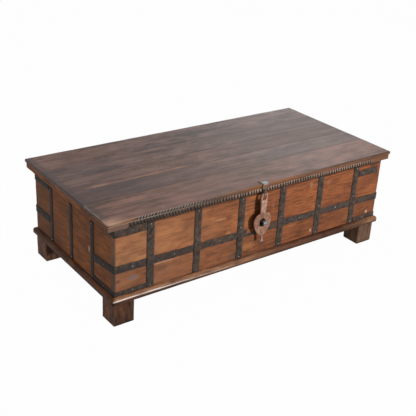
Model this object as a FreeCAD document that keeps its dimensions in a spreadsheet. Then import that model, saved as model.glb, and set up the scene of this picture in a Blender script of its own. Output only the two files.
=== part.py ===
"""Trunk coffee table: a low plank chest bound with iron straps, with a hinged lid and a leaf-shaped hasp.

Millimetres, +Z up, +Y towards the back. The origin is on the floor, at the middle of the four feet.
"""
import FreeCAD, Part
import os
import Sketcher

# Driving dimensions
SIZES = {
    # Chest
    "body_length": 1140,
    "body_width": 546,
    "wall_thickness": 20,
    "wall_height": 231.5,
    "lower_board_height": 91,
    "board_easing": 1,
    # Feet and base moulding
    "foot_width": 74,
    "foot_height": 82,
    "foot_proud": 3,
    "foot_easing": 3,
    "plinth_height": 25,
    "plinth_overhang": 12,
    "plinth_ledge": 15,
    "plinth_arris": 4,
    # Floor
    "floor_thickness": 14,
    "floor_gap": 0.8,
    "bearer_width": 70,
    # Lid
    "end_overhang": 30,
    "side_overhang": 13.5,
    "plank_thickness": 11,
    "plank_round": 4,
    "plank_gap": 0.5,
    "front_plank_width": 148,
    "second_plank_width": 99,
    "third_plank_width": 92,
    "fourth_plank_width": 104,
    "rail_height": 21,
    "rail_easing": 1.5,
    "rail_inner_margin": 6,
    "end_rail_inset": 4,
    "side_rail_inset": 4,
    "batten_width": 64,
    "batten_thickness": 15,
    "batten_corner_margin": 382.5,
    # Carved strip along the front rail
    "strip_thickness": 4,
    "strip_margin": 2,
    "tooth_pitch": 10,
    "tooth_gap": 4.4,
    "tooth_depth": 2.4,
    "tooth_border": 2.2,
    "carving_end_margin": 119,
    "carving_shift": 27,
    # Iron straps
    "strap_thickness": 1.5,
    "front_strap_width": 28,
    "front_strap_corner_margin": 127.5,
    "front_strap_top_gap": 3,
    "middle_strap_width": 27,
    "middle_strap_drop": 2,
    "middle_strap_fall": 9,
    "return_fall": 12,
    "back_strap_drop": 14,
    "crank_run": 6,
    "corner_strap_width": 24,
    "left_top_strap_width": 28,
    "left_top_strap_drop": 15,
    "top_strap_drop": 35,
    "bottom_strap_width": 17,
    "bottom_strap_lift": 9,
    "short_strap_corner_gap": 16,
    "short_strap_round": 8,
    "strap_fit": 0.5,
    "end_strap_width": 22,
    "end_strap_corner_margin": 129,
    "end_strap_shift": 8,
    "end_strap_top_gap": 30,
    "nail_width": 6.5,
    "nail_point": 3,
    "nail_height": 1.8,
    "nail_margin": 7,
    # Rear hinges
    "hinge_corner_margin": 127.5,
    "hinge_width": 36,
    "leaf_thickness": 3,
    "leaf_tail_gap": 14,
    "leaf_end_margin": 2,
    "hinge_pin_radius": 2.5,
    "pin_head_radius": 4.2,
    "pin_head_thickness": 1.6,
    "running_clearance": 0.08,
    "knuckle_gap": 0.3,
    "mortise_clearance": 0.5,
    # Hasp hanger, set a little left of the middle with the hasp and its staple
    "lock_shift": 6,
    "hanger_width": 26,
    "hanger_thickness": 2.5,
    "hanger_top_leg": 26,
    "hanger_drop": 36.5,
    "tongue_width": 8,
    "tongue_length": 20,
    # Hasp
    "loop_bar_radius": 3.8,
    "loop_half_width": 10.2,
    "loop_bend": 5.5,
    "loop_height": 21,
    "loop_lap": 6,
    "hasp_thickness": 4.5,
    "hasp_set_out": 2,
    "neck_width": 25,
    "neck_length": 49,
    "collar_width": 29,
    "collar_height": 5,
    "collar_thickness": 8,
    "collar_drop": 30,
    "leaf_shoulder_radius": 27,
    "leaf_shoulder_offset": 12,
    "leaf_side_radius": 65,
    "leaf_point_drop": 56,
    "tail_width": 9,
    "tail_length": 24,
    "tail_flare": 14,
    "tail_flare_length": 7,
    "hasp_hole_width": 26,
    "hasp_hole_height": 29,
    "hasp_hole_round": 7,
    "hasp_hole_drop": 8,
    # Padlock staple
    "staple_width": 14,
    "staple_thickness": 4,
    "staple_inner_radius": 5,
    "staple_reach": 30,
    "staple_slot_clearance": 0.2,
}

doc = FreeCAD.newDocument("TrunkCoffeeTable")
sheet = doc.addObject("Spreadsheet::Sheet", "Sizes")
for row, (alias, number) in enumerate(SIZES.items(), start=1):
    sheet.set(f"A{row}", alias)
    sheet.set(f"B{row}", str(number))
    sheet.setAlias(f"B{row}", alias)
doc.recompute()


class Size:
    """A length written as an expression on the sheet, together with its present value."""

    def __init__(self, text, value):
        self.text = text
        self.value = value

    def joined(self, sign, other, value):
        return Size(f"({self.text} {sign} {as_size(other).text})", value)

    def __add__(self, other):
        return self.joined("+", other, self.value + as_size(other).value)

    def __sub__(self, other):
        return self.joined("-", other, self.value - as_size(other).value)

    def __mul__(self, factor):
        return self.joined("*", factor, self.value * as_size(factor).value)

    def __truediv__(self, factor):
        return self.joined("/", factor, self.value / as_size(factor).value)

    def __neg__(self):
        return Size(f"(-1 * {self.text})", -self.value)


def as_size(number):
    return number if isinstance(number, Size) else Size(f"({number})", number)


class Sheet:
    """Gives each cell of the sheet as a Size."""

    def __getattr__(self, alias):
        return Size(f"Sizes.{alias}", float(sheet.get(alias)))


S = Sheet()
ZERO = as_size(0)
sub_parts = []

# Heights and half widths that several pieces share
half_length = S.body_length / 2
half_width = S.body_width / 2
inner_half_length = half_length - S.wall_thickness
inner_half_width = half_width - S.wall_thickness
plinth_top = S.foot_height + S.plinth_height
board_seam = plinth_top + S.lower_board_height
rim = plinth_top + S.wall_height
rail_top = rim + S.rail_height
lid_top = rail_top + S.plank_thickness
lid_half_length = half_length + S.end_overhang
lid_half_width = half_width + S.side_overhang


def new_body(label):
    body = doc.addObject("PartDesign::Body", label)
    body.Label = label
    sub_parts.append(body)
    return body


def new_sketch(body, role, offset=ZERO):
    """A sketch on one of the body's own origin planes, moved along that plane's normal."""
    sketch = body.newObject("Sketcher::SketchObject", f"{body.Label}_sketch")
    plane = next(p for p in body.Origin.OriginFeatures if p.Role == role)
    sketch.AttachmentSupport = [(plane, "")]
    sketch.MapMode = "FlatFace"
    sketch.setExpression("AttachmentOffset.Base.z", offset.text)
    return sketch


def tie(sketch, kind, geometry, point, size):
    """Ties one coordinate of a sketch point to a size."""
    index = sketch.addConstraint(Sketcher.Constraint(kind, -1, 1, geometry, point, size.value))
    sketch.setExpression(f"Constraints[{index}]", size.text)


def spot(x, y):
    return FreeCAD.Vector(x.value, y.value, 0)


def polygon(sketch, points):
    """A closed outline of straight lines through points given as pairs of sizes."""
    first = sketch.GeometryCount
    count = len(points)
    for k in range(count):
        start, end = points[k], points[(k + 1) % count]
        sketch.addGeometry(Part.LineSegment(spot(*start), spot(*end)), False)
    for k in range(count):
        sketch.addConstraint(Sketcher.Constraint("Coincident", first + k, 2, first + (k + 1) % count, 1))
        tie(sketch, "DistanceX", first + k, 1, points[k][0])
        tie(sketch, "DistanceY", first + k, 1, points[k][1])


def rectangle(sketch, x_low, y_low, x_high, y_high):
    polygon(sketch, [(x_low, y_low), (x_high, y_low), (x_high, y_high), (x_low, y_high)])


def circle(sketch, x, y, radius):
    index = sketch.addGeometry(Part.Circle(spot(x, y), FreeCAD.Vector(0, 0, 1), radius.value), False)
    tie(sketch, "DistanceX", index, 3, x)
    tie(sketch, "DistanceY", index, 3, y)
    constraint = sketch.addConstraint(Sketcher.Constraint("Radius", index, radius.value))
    sketch.setExpression(f"Constraints[{constraint}]", radius.text)


def pad(body, sketch, length, symmetric=False):
    feature = body.newObject("PartDesign::Pad", f"{body.Label}_pad")
    feature.Profile = sketch
    feature.SideType = "Symmetric" if symmetric else "One side"
    feature.setExpression("Length", length.text)
    doc.recompute()
    return feature


def pocket(body, sketch, length, symmetric=True):
    """A cut that has to take something off."""
    before = body.Shape.Volume
    feature = body.newObject("PartDesign::Pocket", f"{body.Label}_pocket")
    feature.Profile = sketch
    feature.SideType = "Symmetric" if symmetric else "One side"
    feature.setExpression("Length", length.text)
    doc.recompute()
    if body.Shape.Volume >= before:
        raise RuntimeError(f"a cut in {body.Label} took nothing off")
    return feature


def ease_all_edges(body, size):
    base = body.Tip
    feature = body.newObject("PartDesign::Chamfer", f"{body.Label}_easing")
    feature.Base = (base, [""])
    feature.UseAllEdges = True
    feature.setExpression("Size", size.text)
    doc.recompute()


def round_edges(body, radius, wanted):
    """Rounds the edges whose middle point passes the test."""
    base = body.Tip
    names = []
    for number, edge in enumerate(base.Shape.Edges, start=1):
        middle = edge.valueAt((edge.FirstParameter + edge.LastParameter) / 2)
        if wanted(middle):
            names.append(f"Edge{number}")
    feature = body.newObject("PartDesign::Fillet", f"{body.Label}_round")
    feature.Base = (base, names)
    feature.setExpression("Radius", radius.text)
    doc.recompute()


def board(label, x_low, x_high, y_low, y_high, z_low, z_high, easing=None):
    """A sawn board between six planes, with its edges eased."""
    body = new_body(label)
    sketch = new_sketch(body, "XY_Plane", z_low)
    rectangle(sketch, x_low, y_low, x_high, y_high)
    pad(body, sketch, z_high - z_low)
    if easing is not None:
        ease_all_edges(body, easing)
    return body


def near(value, size):
    return abs(value - size.value) < 0.01


# Feet: square posts under the corners, a little proud of the walls
foot_half_length = half_length + S.foot_proud
foot_half_width = half_width + S.foot_proud
for depth, y_sign in (("front", -1), ("back", 1)):
    for side, x_sign in (("left", -1), ("right", 1)):
        x_outer, x_inner = foot_half_length * x_sign, (foot_half_length - S.foot_width) * x_sign
        y_outer, y_inner = foot_half_width * y_sign, (foot_half_width - S.foot_width) * y_sign
        x_low, x_high = (x_outer, x_inner) if x_sign < 0 else (x_inner, x_outer)
        y_low, y_high = (y_outer, y_inner) if y_sign < 0 else (y_inner, y_outer)
        board(f"foot_{depth}_{side}", x_low, x_high, y_low, y_high, ZERO, S.foot_height, S.foot_easing)

# Base mouldings: a rounded edge outside the walls and a ledge inside them, mitred at the corners
plinth_half_length = half_length + S.plinth_overhang
plinth_half_width = half_width + S.plinth_overhang
plinth_breadth = S.plinth_overhang + S.wall_thickness + S.plinth_ledge


def plinth(label, along, outer, half_run, sign):
    """One moulding, drawn in plan with mitred ends, raised, and rounded from the wall down to a low arris."""
    body = new_body(label)
    inner = outer - plinth_breadth
    inner_run = half_run - plinth_breadth
    plan = [(-half_run, outer * sign), (half_run, outer * sign),
            (inner_run, inner * sign), (-inner_run, inner * sign)]
    if along == "y":
        plan = [(across, run) for run, across in plan]
    sketch = new_sketch(body, "XY_Plane", S.foot_height)
    polygon(sketch, plan)
    pad(body, sketch, S.plinth_height)
    edge_at = outer * sign
    for radius, height in ((S.plinth_overhang, plinth_top), (S.plinth_arris, S.foot_height)):
        if along == "x":
            round_edges(body, radius, lambda p: near(p.y, edge_at) and near(p.x, ZERO) and near(p.z, height))
        else:
            round_edges(body, radius, lambda p: near(p.x, edge_at) and near(p.y, ZERO) and near(p.z, height))


plinth("plinth_front", "x", plinth_half_width, plinth_half_length, -1)
plinth("plinth_back", "x", plinth_half_width, plinth_half_length, 1)
plinth("plinth_left", "y", plinth_half_length, plinth_half_width, -1)
plinth("plinth_right", "y", plinth_half_length, plinth_half_width, 1)

# Floor: three boards on the ledge of the base mouldings, with a bearer under their middle
floor_half_length = inner_half_length - S.floor_gap
floor_board_width = (inner_half_width * 2 - S.floor_gap * 4) / 3
floor_front = S.floor_gap - inner_half_width
for number, place in enumerate(("front", "middle", "back")):
    y_low = floor_front + (floor_board_width + S.floor_gap) * number
    board(f"floor_board_{place}", -floor_half_length, floor_half_length, y_low, y_low + floor_board_width,
          plinth_top, plinth_top + S.floor_thickness, S.board_easing)
bearer_half_run = inner_half_width - S.plinth_ledge
board("floor_bearer", S.bearer_width / -2, S.bearer_width / 2, -bearer_half_run, bearer_half_run,
      S.foot_height, plinth_top, S.board_easing)

# Walls: two front boards edge to edge, one back board, and the ends between them
board("front_board_lower", -half_length, half_length, -half_width, -inner_half_width,
      plinth_top, board_seam, S.board_easing)
front_upper = board("front_board_upper", -half_length, half_length, -half_width, -inner_half_width,
                    board_seam, rim, S.board_easing)
board("back_board", -half_length, half_length, inner_half_width, half_width, plinth_top, rim, S.board_easing)
board("end_board_left", -half_length, -inner_half_length, -inner_half_width, inner_half_width,
      plinth_top, rim, S.board_easing)
board("end_board_right", inner_half_length, half_length, -inner_half_width, inner_half_width,
      plinth_top, rim, S.board_easing)

# Upright front straps: flat iron, cranked outwards over the middle strap, which falls from left to right
FRONT_STRAPS = 6
front_strap_middle = (FRONT_STRAPS - 1) / 2
outermost_strap = half_length - S.front_strap_corner_margin
front_strap_pitch = outermost_strap / front_strap_middle
strap_face = half_width + S.strap_thickness
crank_face = strap_face + S.strap_thickness
half_middle_strap = S.middle_strap_width / 2
front_strap_top = rim - S.front_strap_top_gap
middle_strap_height = board_seam - S.middle_strap_drop
middle_strap_slope = S.middle_strap_fall / S.body_length


def crossing_at(x):
    """The height of the middle strap's centre line."""
    return middle_strap_height - middle_strap_slope * x


for number in range(FRONT_STRAPS):
    strap = new_body(f"front_strap_{number + 1}")
    strap_x = front_strap_pitch * (number - front_strap_middle)
    crank_low = crossing_at(strap_x) - half_middle_strap - S.strap_fit
    crank_high = crossing_at(strap_x) + half_middle_strap + S.strap_fit
    sketch = new_sketch(strap, "YZ_Plane", strap_x)
    polygon(sketch, [
        (-half_width, plinth_top), (-half_width, crank_low - S.crank_run), (-strap_face, crank_low),
        (-strap_face, crank_high), (-half_width, crank_high + S.crank_run), (-half_width, front_strap_top),
        (-strap_face, front_strap_top), (-strap_face, crank_high + S.crank_run), (-crank_face, crank_high),
        (-crank_face, crank_low), (-strap_face, crank_low - S.crank_run), (-strap_face, plinth_top)])
    pad(strap, sketch, S.front_strap_width, symmetric=True)

# Straps that lie level: drawn in plan along the walls, and raised by their width
hinge_middle = half_length - S.hinge_corner_margin
end_strap_pitch = half_width - S.end_strap_corner_margin
front_cell_edge = outermost_strap + S.front_strap_width / 2 + S.strap_fit
back_cell_edge = hinge_middle + S.hinge_width / 2 + S.strap_fit
end_front_edge = end_strap_pitch - S.end_strap_shift + S.end_strap_width / 2 + S.strap_fit
end_back_edge = end_strap_pitch + S.end_strap_shift + S.end_strap_width / 2 + S.strap_fit
end_face = half_length + S.strap_thickness


def level_strap(label, plan, middle, breadth):
    body = new_body(label)
    sketch = new_sketch(body, "XY_Plane", middle - breadth / 2)
    polygon(sketch, plan)
    pad(body, sketch, breadth)


def corner_plan(x_sign, y_sign, wall_end, end_wall_end):
    """An angle round one corner, from its end on the long wall to its end on the end wall."""
    return [(wall_end * x_sign, half_width * y_sign), (half_length * x_sign, half_width * y_sign),
            (half_length * x_sign, end_wall_end * y_sign), (end_face * x_sign, end_wall_end * y_sign),
            (end_face * x_sign, strap_face * y_sign), (wall_end * x_sign, strap_face * y_sign)]


# The middle strap slopes along the front, and its returns fall away towards the back
middle_strap = new_body("front_middle_strap")
height_left = crossing_at(-half_length)
height_right = crossing_at(half_length)
sketch = new_sketch(middle_strap, "XZ_Plane", half_width)
polygon(sketch, [(-end_face, height_left - half_middle_strap), (end_face, height_right - half_middle_strap),
                 (end_face, height_right + half_middle_strap), (-end_face, height_left + half_middle_strap)])
pad(middle_strap, sketch, S.strap_thickness)
for x_start, height in ((-end_face, height_left), (half_length, height_right)):
    sketch = new_sketch(middle_strap, "YZ_Plane", x_start)
    height_end = height - S.return_fall
    polygon(sketch, [
        (-strap_face, height - half_middle_strap), (-end_front_edge, height_end - half_middle_strap),
        (-end_front_edge, height_end + half_middle_strap), (-strap_face, height + half_middle_strap)])
    pad(middle_strap, sketch, S.strap_thickness)

bottom_strap_middle = plinth_top + S.bottom_strap_lift
for side, x_sign in (("left", -1), ("right", 1)):
    front_corner = corner_plan(x_sign, -1, front_cell_edge, end_front_edge)
    back_corner = corner_plan(x_sign, 1, back_cell_edge, end_back_edge)
    level_strap(f"back_middle_strap_{side}", back_corner, board_seam - S.back_strap_drop,
                S.middle_strap_width)
    level_strap(f"corner_strap_bottom_front_{side}", front_corner, bottom_strap_middle, S.bottom_strap_width)
    level_strap(f"corner_strap_top_back_{side}", back_corner, rim - S.top_strap_drop, S.corner_strap_width)
    if side == "left":
        level_strap("corner_strap_top_front_left", front_corner, rim - S.left_top_strap_drop,
                    S.left_top_strap_width)

# The top strap at the right front corner is short: round-ended, and it stops before the corner
short_strap = new_body("corner_strap_top_front_right")
sketch = new_sketch(short_strap, "XZ_Plane", half_width)
short_strap_middle = rim - S.top_strap_drop
short_strap_end = half_length - S.short_strap_corner_gap
rectangle(sketch, front_cell_edge, short_strap_middle - S.corner_strap_width / 2,
          short_strap_end, short_strap_middle + S.corner_strap_width / 2)
pad(short_strap, sketch, S.strap_thickness)
round_edges(short_strap, S.short_strap_round, lambda p: near(p.x, short_strap_end)
            and abs(p.z - short_strap_middle.value) > 1 and near(p.y, -(half_width + S.strap_thickness / 2)))

# Upright straps on the ends
for side, x_sign in (("left", -1), ("right", 1)):
    x_low, x_high = (-end_face, -half_length) if x_sign < 0 else (half_length, end_face)
    for number in range(3):
        middle = S.end_strap_shift + end_strap_pitch * (number - 1)
        board(f"end_strap_{side}_{number + 1}", x_low, x_high, middle - S.end_strap_width / 2,
              middle + S.end_strap_width / 2, plinth_top, rim - S.end_strap_top_gap)

# Strap nails: forged heads with four hammered facets, which stand on the straps
nails = []
half_head = S.nail_width / 2
half_point = S.nail_point / 2


def nail(x, y, z, turn):
    """One head, turned about the upright axis from the front of the chest to the side that it is on."""
    head = doc.addObject("Part::Wedge", "nail_head")
    limits = {"Ymin": -S.nail_height, "Xmin": -half_point, "Xmax": half_point, "Zmin": -half_point,
              "Zmax": half_point, "Ymax": ZERO, "X2min": -half_head, "X2max": half_head,
              "Z2min": -half_head, "Z2max": half_head}
    for name, size in limits.items():
        head.setExpression(name, size.text)
    head.Placement.Rotation = FreeCAD.Rotation(FreeCAD.Vector(0, 0, 1), turn)
    for axis, size in (("x", x), ("y", y), ("z", z)):
        head.setExpression(f"Placement.Base.{axis}", size.text)
    nails.append(head)


low_nail = plinth_top + S.nail_margin
for number in range(FRONT_STRAPS):
    strap_x = front_strap_pitch * (number - front_strap_middle)
    above_crank = crossing_at(strap_x) + half_middle_strap + S.strap_fit + S.crank_run + S.nail_margin
    for height in (low_nail, above_crank, front_strap_top - S.nail_margin):
        nail(strap_x, -strap_face, height, 0)
for number in range(FRONT_STRAPS - 1):
    bay_x = front_strap_pitch * (number - front_strap_middle + 0.5)
    nail(bay_x, -strap_face, crossing_at(bay_x), 0)
nail_inset = S.nail_margin * 3
for nail_x in (front_cell_edge + nail_inset, short_strap_end - nail_inset):
    nail(nail_x, -strap_face, short_strap_middle, 0)
corner_bay = (half_length + outermost_strap) / 2
back_bay = (half_length + back_cell_edge) / 2
front_return = (half_width + end_front_edge) / -2
back_return = (half_width + end_back_edge) / 2
left_top_height = rim - S.left_top_strap_drop
nail(-corner_bay, -strap_face, left_top_height, 0)
nail(-end_face, front_return, left_top_height, -90)
for x_sign, height in ((-1, height_left), (1, height_right)):
    end_x, end_turn = end_face * x_sign, 90 * x_sign
    nail(corner_bay * x_sign, -strap_face, crossing_at(corner_bay * x_sign), 0)
    nail(corner_bay * x_sign, -strap_face, bottom_strap_middle, 0)
    nail(end_x, front_return, height - S.return_fall / 2, end_turn)
    nail(end_x, front_return, bottom_strap_middle, end_turn)
    for back_height in (board_seam - S.back_strap_drop, rim - S.top_strap_drop):
        nail(back_bay * x_sign, strap_face, back_height, 180)
        nail(end_x, back_return, back_height, end_turn)
    for number in range(3):
        strap_y = S.end_strap_shift + end_strap_pitch * (number - 1)
        for end_height in (low_nail, rim - S.end_strap_top_gap - S.nail_margin):
            nail(end_x, strap_y, end_height, end_turn)
    for tail_height in (low_nail + S.leaf_tail_gap, board_seam, rim - S.top_strap_drop):
        nail(hinge_middle * x_sign, half_width + S.leaf_thickness, tail_height, 180)
strap_nails = doc.addObject("Part::Compound", "strap_nails")
strap_nails.Label = "strap_nails"
strap_nails.Links = nails
sub_parts.append(strap_nails)

# Rear hinges: each pin lies behind the back board, just under the lid's back rail
bore_radius = S.hinge_pin_radius + S.running_clearance
barrel_radius = bore_radius + S.leaf_thickness
hinge_y = half_width + S.leaf_thickness + bore_radius
hinge_z = rim - bore_radius
knuckle = S.hinge_width / 3
moving_knuckle = knuckle - S.knuckle_gap * 2
barrel_room = barrel_radius + S.mortise_clearance


def barrel(body, x, length):
    sketch = new_sketch(body, "YZ_Plane", x)
    circle(sketch, hinge_y, hinge_z, barrel_radius)
    pad(body, sketch, length, symmetric=True)


def pin_bore(body, x):
    sketch = new_sketch(body, "YZ_Plane", x)
    circle(sketch, hinge_y, hinge_z, bore_radius)
    pocket(body, sketch, S.hinge_width * 2)


for side, x_sign in (("left", -1), ("right", 1)):
    hinge_x = hinge_middle * x_sign

    # The chest's leaf runs down the back as a strap, and carries the two outer knuckles
    leaf = new_body(f"hinge_lower_leaf_{side}")
    sketch = new_sketch(leaf, "YZ_Plane", hinge_x)
    rectangle(sketch, half_width, plinth_top + S.leaf_tail_gap, half_width + S.leaf_thickness, hinge_z)
    pad(leaf, sketch, S.hinge_width, symmetric=True)
    barrel(leaf, hinge_x, S.hinge_width)
    sketch = new_sketch(leaf, "YZ_Plane", hinge_x)
    rectangle(sketch, half_width - S.leaf_thickness, hinge_z - barrel_room,
              hinge_y + barrel_room, hinge_z + barrel_room)
    pocket(leaf, sketch, knuckle)
    pin_bore(leaf, hinge_x)

    # The lid's leaf is let into the underside of the back rail, and carries the middle knuckle
    leaf = new_body(f"hinge_upper_leaf_{side}")
    sketch = new_sketch(leaf, "XY_Plane", rim)
    leaf_front = inner_half_width - S.rail_inner_margin + S.leaf_end_margin
    leaf_back = hinge_y - barrel_room
    rectangle(sketch, hinge_x - S.hinge_width / 2, leaf_front, hinge_x + S.hinge_width / 2, leaf_back)
    pad(leaf, sketch, S.leaf_thickness)
    sketch = new_sketch(leaf, "YZ_Plane", hinge_x)
    rectangle(sketch, leaf_front, rim, hinge_y, rim + S.leaf_thickness)
    pad(leaf, sketch, moving_knuckle, symmetric=True)
    barrel(leaf, hinge_x, moving_knuckle)
    pin_bore(leaf, hinge_x)

# Hinge pins: a plain shank with a flattened head at each end
pins = []
for x_sign in (-1, 1):
    lengths = [
        ("shank", S.hinge_pin_radius, S.hinge_width, S.hinge_width / -2),
        ("head_left", S.pin_head_radius, S.pin_head_thickness, S.hinge_width / -2 - S.pin_head_thickness),
        ("head_right", S.pin_head_radius, S.pin_head_thickness, S.hinge_width / 2),
    ]
    pieces = []
    for name, radius, length, start in lengths:
        piece = doc.addObject("Part::Cylinder", f"pin_{name}")
        piece.Placement.Rotation = FreeCAD.Rotation(FreeCAD.Vector(0, 1, 0), 90)
        piece.setExpression("Radius", radius.text)
        piece.setExpression("Height", length.text)
        piece.setExpression("Placement.Base.x", (hinge_middle * x_sign + start).text)
        piece.setExpression("Placement.Base.y", hinge_y.text)
        piece.setExpression("Placement.Base.z", hinge_z.text)
        pieces.append(piece)
    pin = doc.addObject("Part::MultiFuse", "hinge_pin")
    pin.Shapes = pieces
    pins.append(pin)
hinge_pins = doc.addObject("Part::Compound", "hinge_pins")
hinge_pins.Label = "hinge_pins"
hinge_pins.Links = pins
sub_parts.append(hinge_pins)

# Lid planks: long boards, rounded along the lid's outer rim
plank_widths = [S.front_plank_width, S.second_plank_width, S.third_plank_width, S.fourth_plank_width]
used_width = plank_widths[0] + plank_widths[1] + plank_widths[2] + plank_widths[3] + S.plank_gap * 4
plank_widths.append(lid_half_width * 2 - used_width)
plank_front = -lid_half_width
for number, width in enumerate(plank_widths, start=1):
    plank_back = plank_front + width
    plank = board(f"lid_plank_{number}", -lid_half_length, lid_half_length, plank_front, plank_back,
                  rail_top, lid_top)
    round_edges(plank, S.plank_round, lambda p: near(abs(p.x), lid_half_length) and near(p.z, lid_top)
                or near(abs(p.x), lid_half_length) and near(p.z, rail_top)
                or near(abs(p.y), lid_half_width))
    plank_front = plank_back + S.plank_gap

# Lid rails: a frame under the planks that closes on the walls
rail_half_length = lid_half_length - S.end_rail_inset
rail_inner_y = inner_half_width - S.rail_inner_margin
rail_inner_x = inner_half_length - S.rail_inner_margin
strip_face = lid_half_width - S.side_rail_inset
front_rail_face = strip_face - S.strip_thickness
board("lid_rail_front", -rail_half_length, rail_half_length, -front_rail_face, -rail_inner_y,
      rim, rail_top, S.rail_easing)
board("lid_rail_left", -rail_half_length, -rail_inner_x, -rail_inner_y, rail_inner_y,
      rim, rail_top, S.rail_easing)
board("lid_rail_right", rail_inner_x, rail_half_length, -rail_inner_y, rail_inner_y,
      rim, rail_top, S.rail_easing)

# The back rail is mortised for the hinge leaves, and cut deeper round their knuckles
back_rail = board("lid_rail_back", -rail_half_length, rail_half_length, rail_inner_y, strip_face,
                  rim, rail_top, S.rail_easing)
for x_sign in (-1, 1):
    hinge_x = hinge_middle * x_sign
    mortise_width = S.hinge_width + S.mortise_clearance * 2
    sketch = new_sketch(back_rail, "YZ_Plane", hinge_x)
    rectangle(sketch, rail_inner_y - S.rail_easing, rim - S.rail_easing,
              strip_face + S.rail_easing, rim + S.leaf_thickness)
    pocket(back_rail, sketch, mortise_width)
    sketch = new_sketch(back_rail, "YZ_Plane", hinge_x)
    rectangle(sketch, hinge_y - barrel_room, rim - S.rail_easing,
              strip_face + S.rail_easing, hinge_z + barrel_room + S.mortise_clearance)
    pocket(back_rail, sketch, mortise_width + S.pin_head_thickness * 2 + S.mortise_clearance * 2)

# Battens across the underside of the planks
for side, x_sign in (("left", -1), ("right", 1)):
    middle = (half_length - S.batten_corner_margin) * x_sign
    board(f"lid_batten_{side}", middle - S.batten_width / 2, middle + S.batten_width / 2,
          -rail_inner_y, rail_inner_y, rail_top - S.batten_thickness, rail_top, S.rail_easing)

# Carved strip: a moulding on the front rail with a row of gouged, round-topped cuts between teeth
strip = new_body("carved_strip")
sketch = new_sketch(strip, "XZ_Plane", front_rail_face)
rectangle(sketch, -rail_half_length, rim + S.strip_margin, rail_half_length, rail_top - S.strip_margin)
pad(strip, sketch, S.strip_thickness)
carving_length = (rail_half_length - S.carving_end_margin) * 2
tooth_count = round(carving_length.value / S.tooth_pitch.value)
first_cut = S.carving_shift + S.tooth_pitch * ((1 - tooth_count) / 2)
cut_low = rim + S.strip_margin + S.tooth_border
cut_high = rail_top - S.strip_margin - S.tooth_border
sketch = new_sketch(strip, "XZ_Plane", strip_face)
half_gap = S.tooth_gap / 2
shoulder = cut_high - half_gap
polygon(sketch, [(first_cut - half_gap, cut_low), (first_cut + half_gap, cut_low),
                 (first_cut + half_gap, shoulder), (first_cut, cut_high), (first_cut - half_gap, shoulder)])
cut = pocket(strip, sketch, S.tooth_depth * 2)
row = strip.newObject("PartDesign::LinearPattern", "carved_strip_teeth")
row.Originals = [cut]
row.Direction = (sketch, ["H_Axis"])
row.Mode = "Spacing"
row.Occurrences = tooth_count
row.setExpression("Offset", S.tooth_pitch.text)
strip.Tip = row
doc.recompute()

# Hasp hanger: iron bent over the lid's front edge, ending in an eye curled round the hasp's bar
hanger_face = lid_half_width + S.hanger_thickness
eye_radius = S.loop_bar_radius + S.running_clearance
eye_outer = eye_radius + S.hanger_thickness
eye_y = -lid_half_width
eye_z = lid_top - S.hanger_drop
hanger_top = lid_top + S.hanger_thickness
tongue_top = eye_z + S.tongue_length
hanger = new_body("hasp_hanger")
sketch = new_sketch(hanger, "YZ_Plane")
leg_end = -lid_half_width + S.hanger_top_leg
polygon(sketch, [(-hanger_face, tongue_top), (-lid_half_width, tongue_top), (-lid_half_width, lid_top),
                 (leg_end, lid_top), (leg_end, hanger_top), (-hanger_face, hanger_top)])
pad(hanger, sketch, S.hanger_width, symmetric=True)
round_edges(hanger, S.hanger_thickness, lambda p: near(p.y, -hanger_face) and near(p.z, hanger_top))
sketch = new_sketch(hanger, "YZ_Plane")
rectangle(sketch, -hanger_face, eye_z, -lid_half_width, tongue_top)
pad(hanger, sketch, S.tongue_width, symmetric=True)
sketch = new_sketch(hanger, "YZ_Plane")
circle(sketch, eye_y, eye_z, eye_outer)
pad(hanger, sketch, S.tongue_width, symmetric=True)
sketch = new_sketch(hanger, "YZ_Plane")
circle(sketch, eye_y, eye_z, eye_radius)
pocket(hanger, sketch, S.hanger_width)

# Hasp: a flat leaf on a neck, hung from the eye by a forged loop of round bar
hasp = new_body("hasp")
hasp_plane = S.hasp_set_out - eye_y
neck_top = eye_z - S.loop_height
neck_bottom = neck_top - S.neck_length
half_neck = S.neck_width / 2
half_tail = S.tail_width / 2
leaf_middle = neck_bottom - S.leaf_shoulder_radius
leaf_half_width = S.leaf_shoulder_offset + S.leaf_shoulder_radius
side_centre = leaf_half_width - S.leaf_side_radius
leaf_point = leaf_middle - S.leaf_point_drop

# Half-way points of the arcs: along a 45-degree line, and half way down the leaf's sides
diagonal = 0.5 ** 0.5
half_drop = S.leaf_point_drop.value / 2
side_bulge = (S.leaf_side_radius.value ** 2 - half_drop ** 2) ** 0.5

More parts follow.
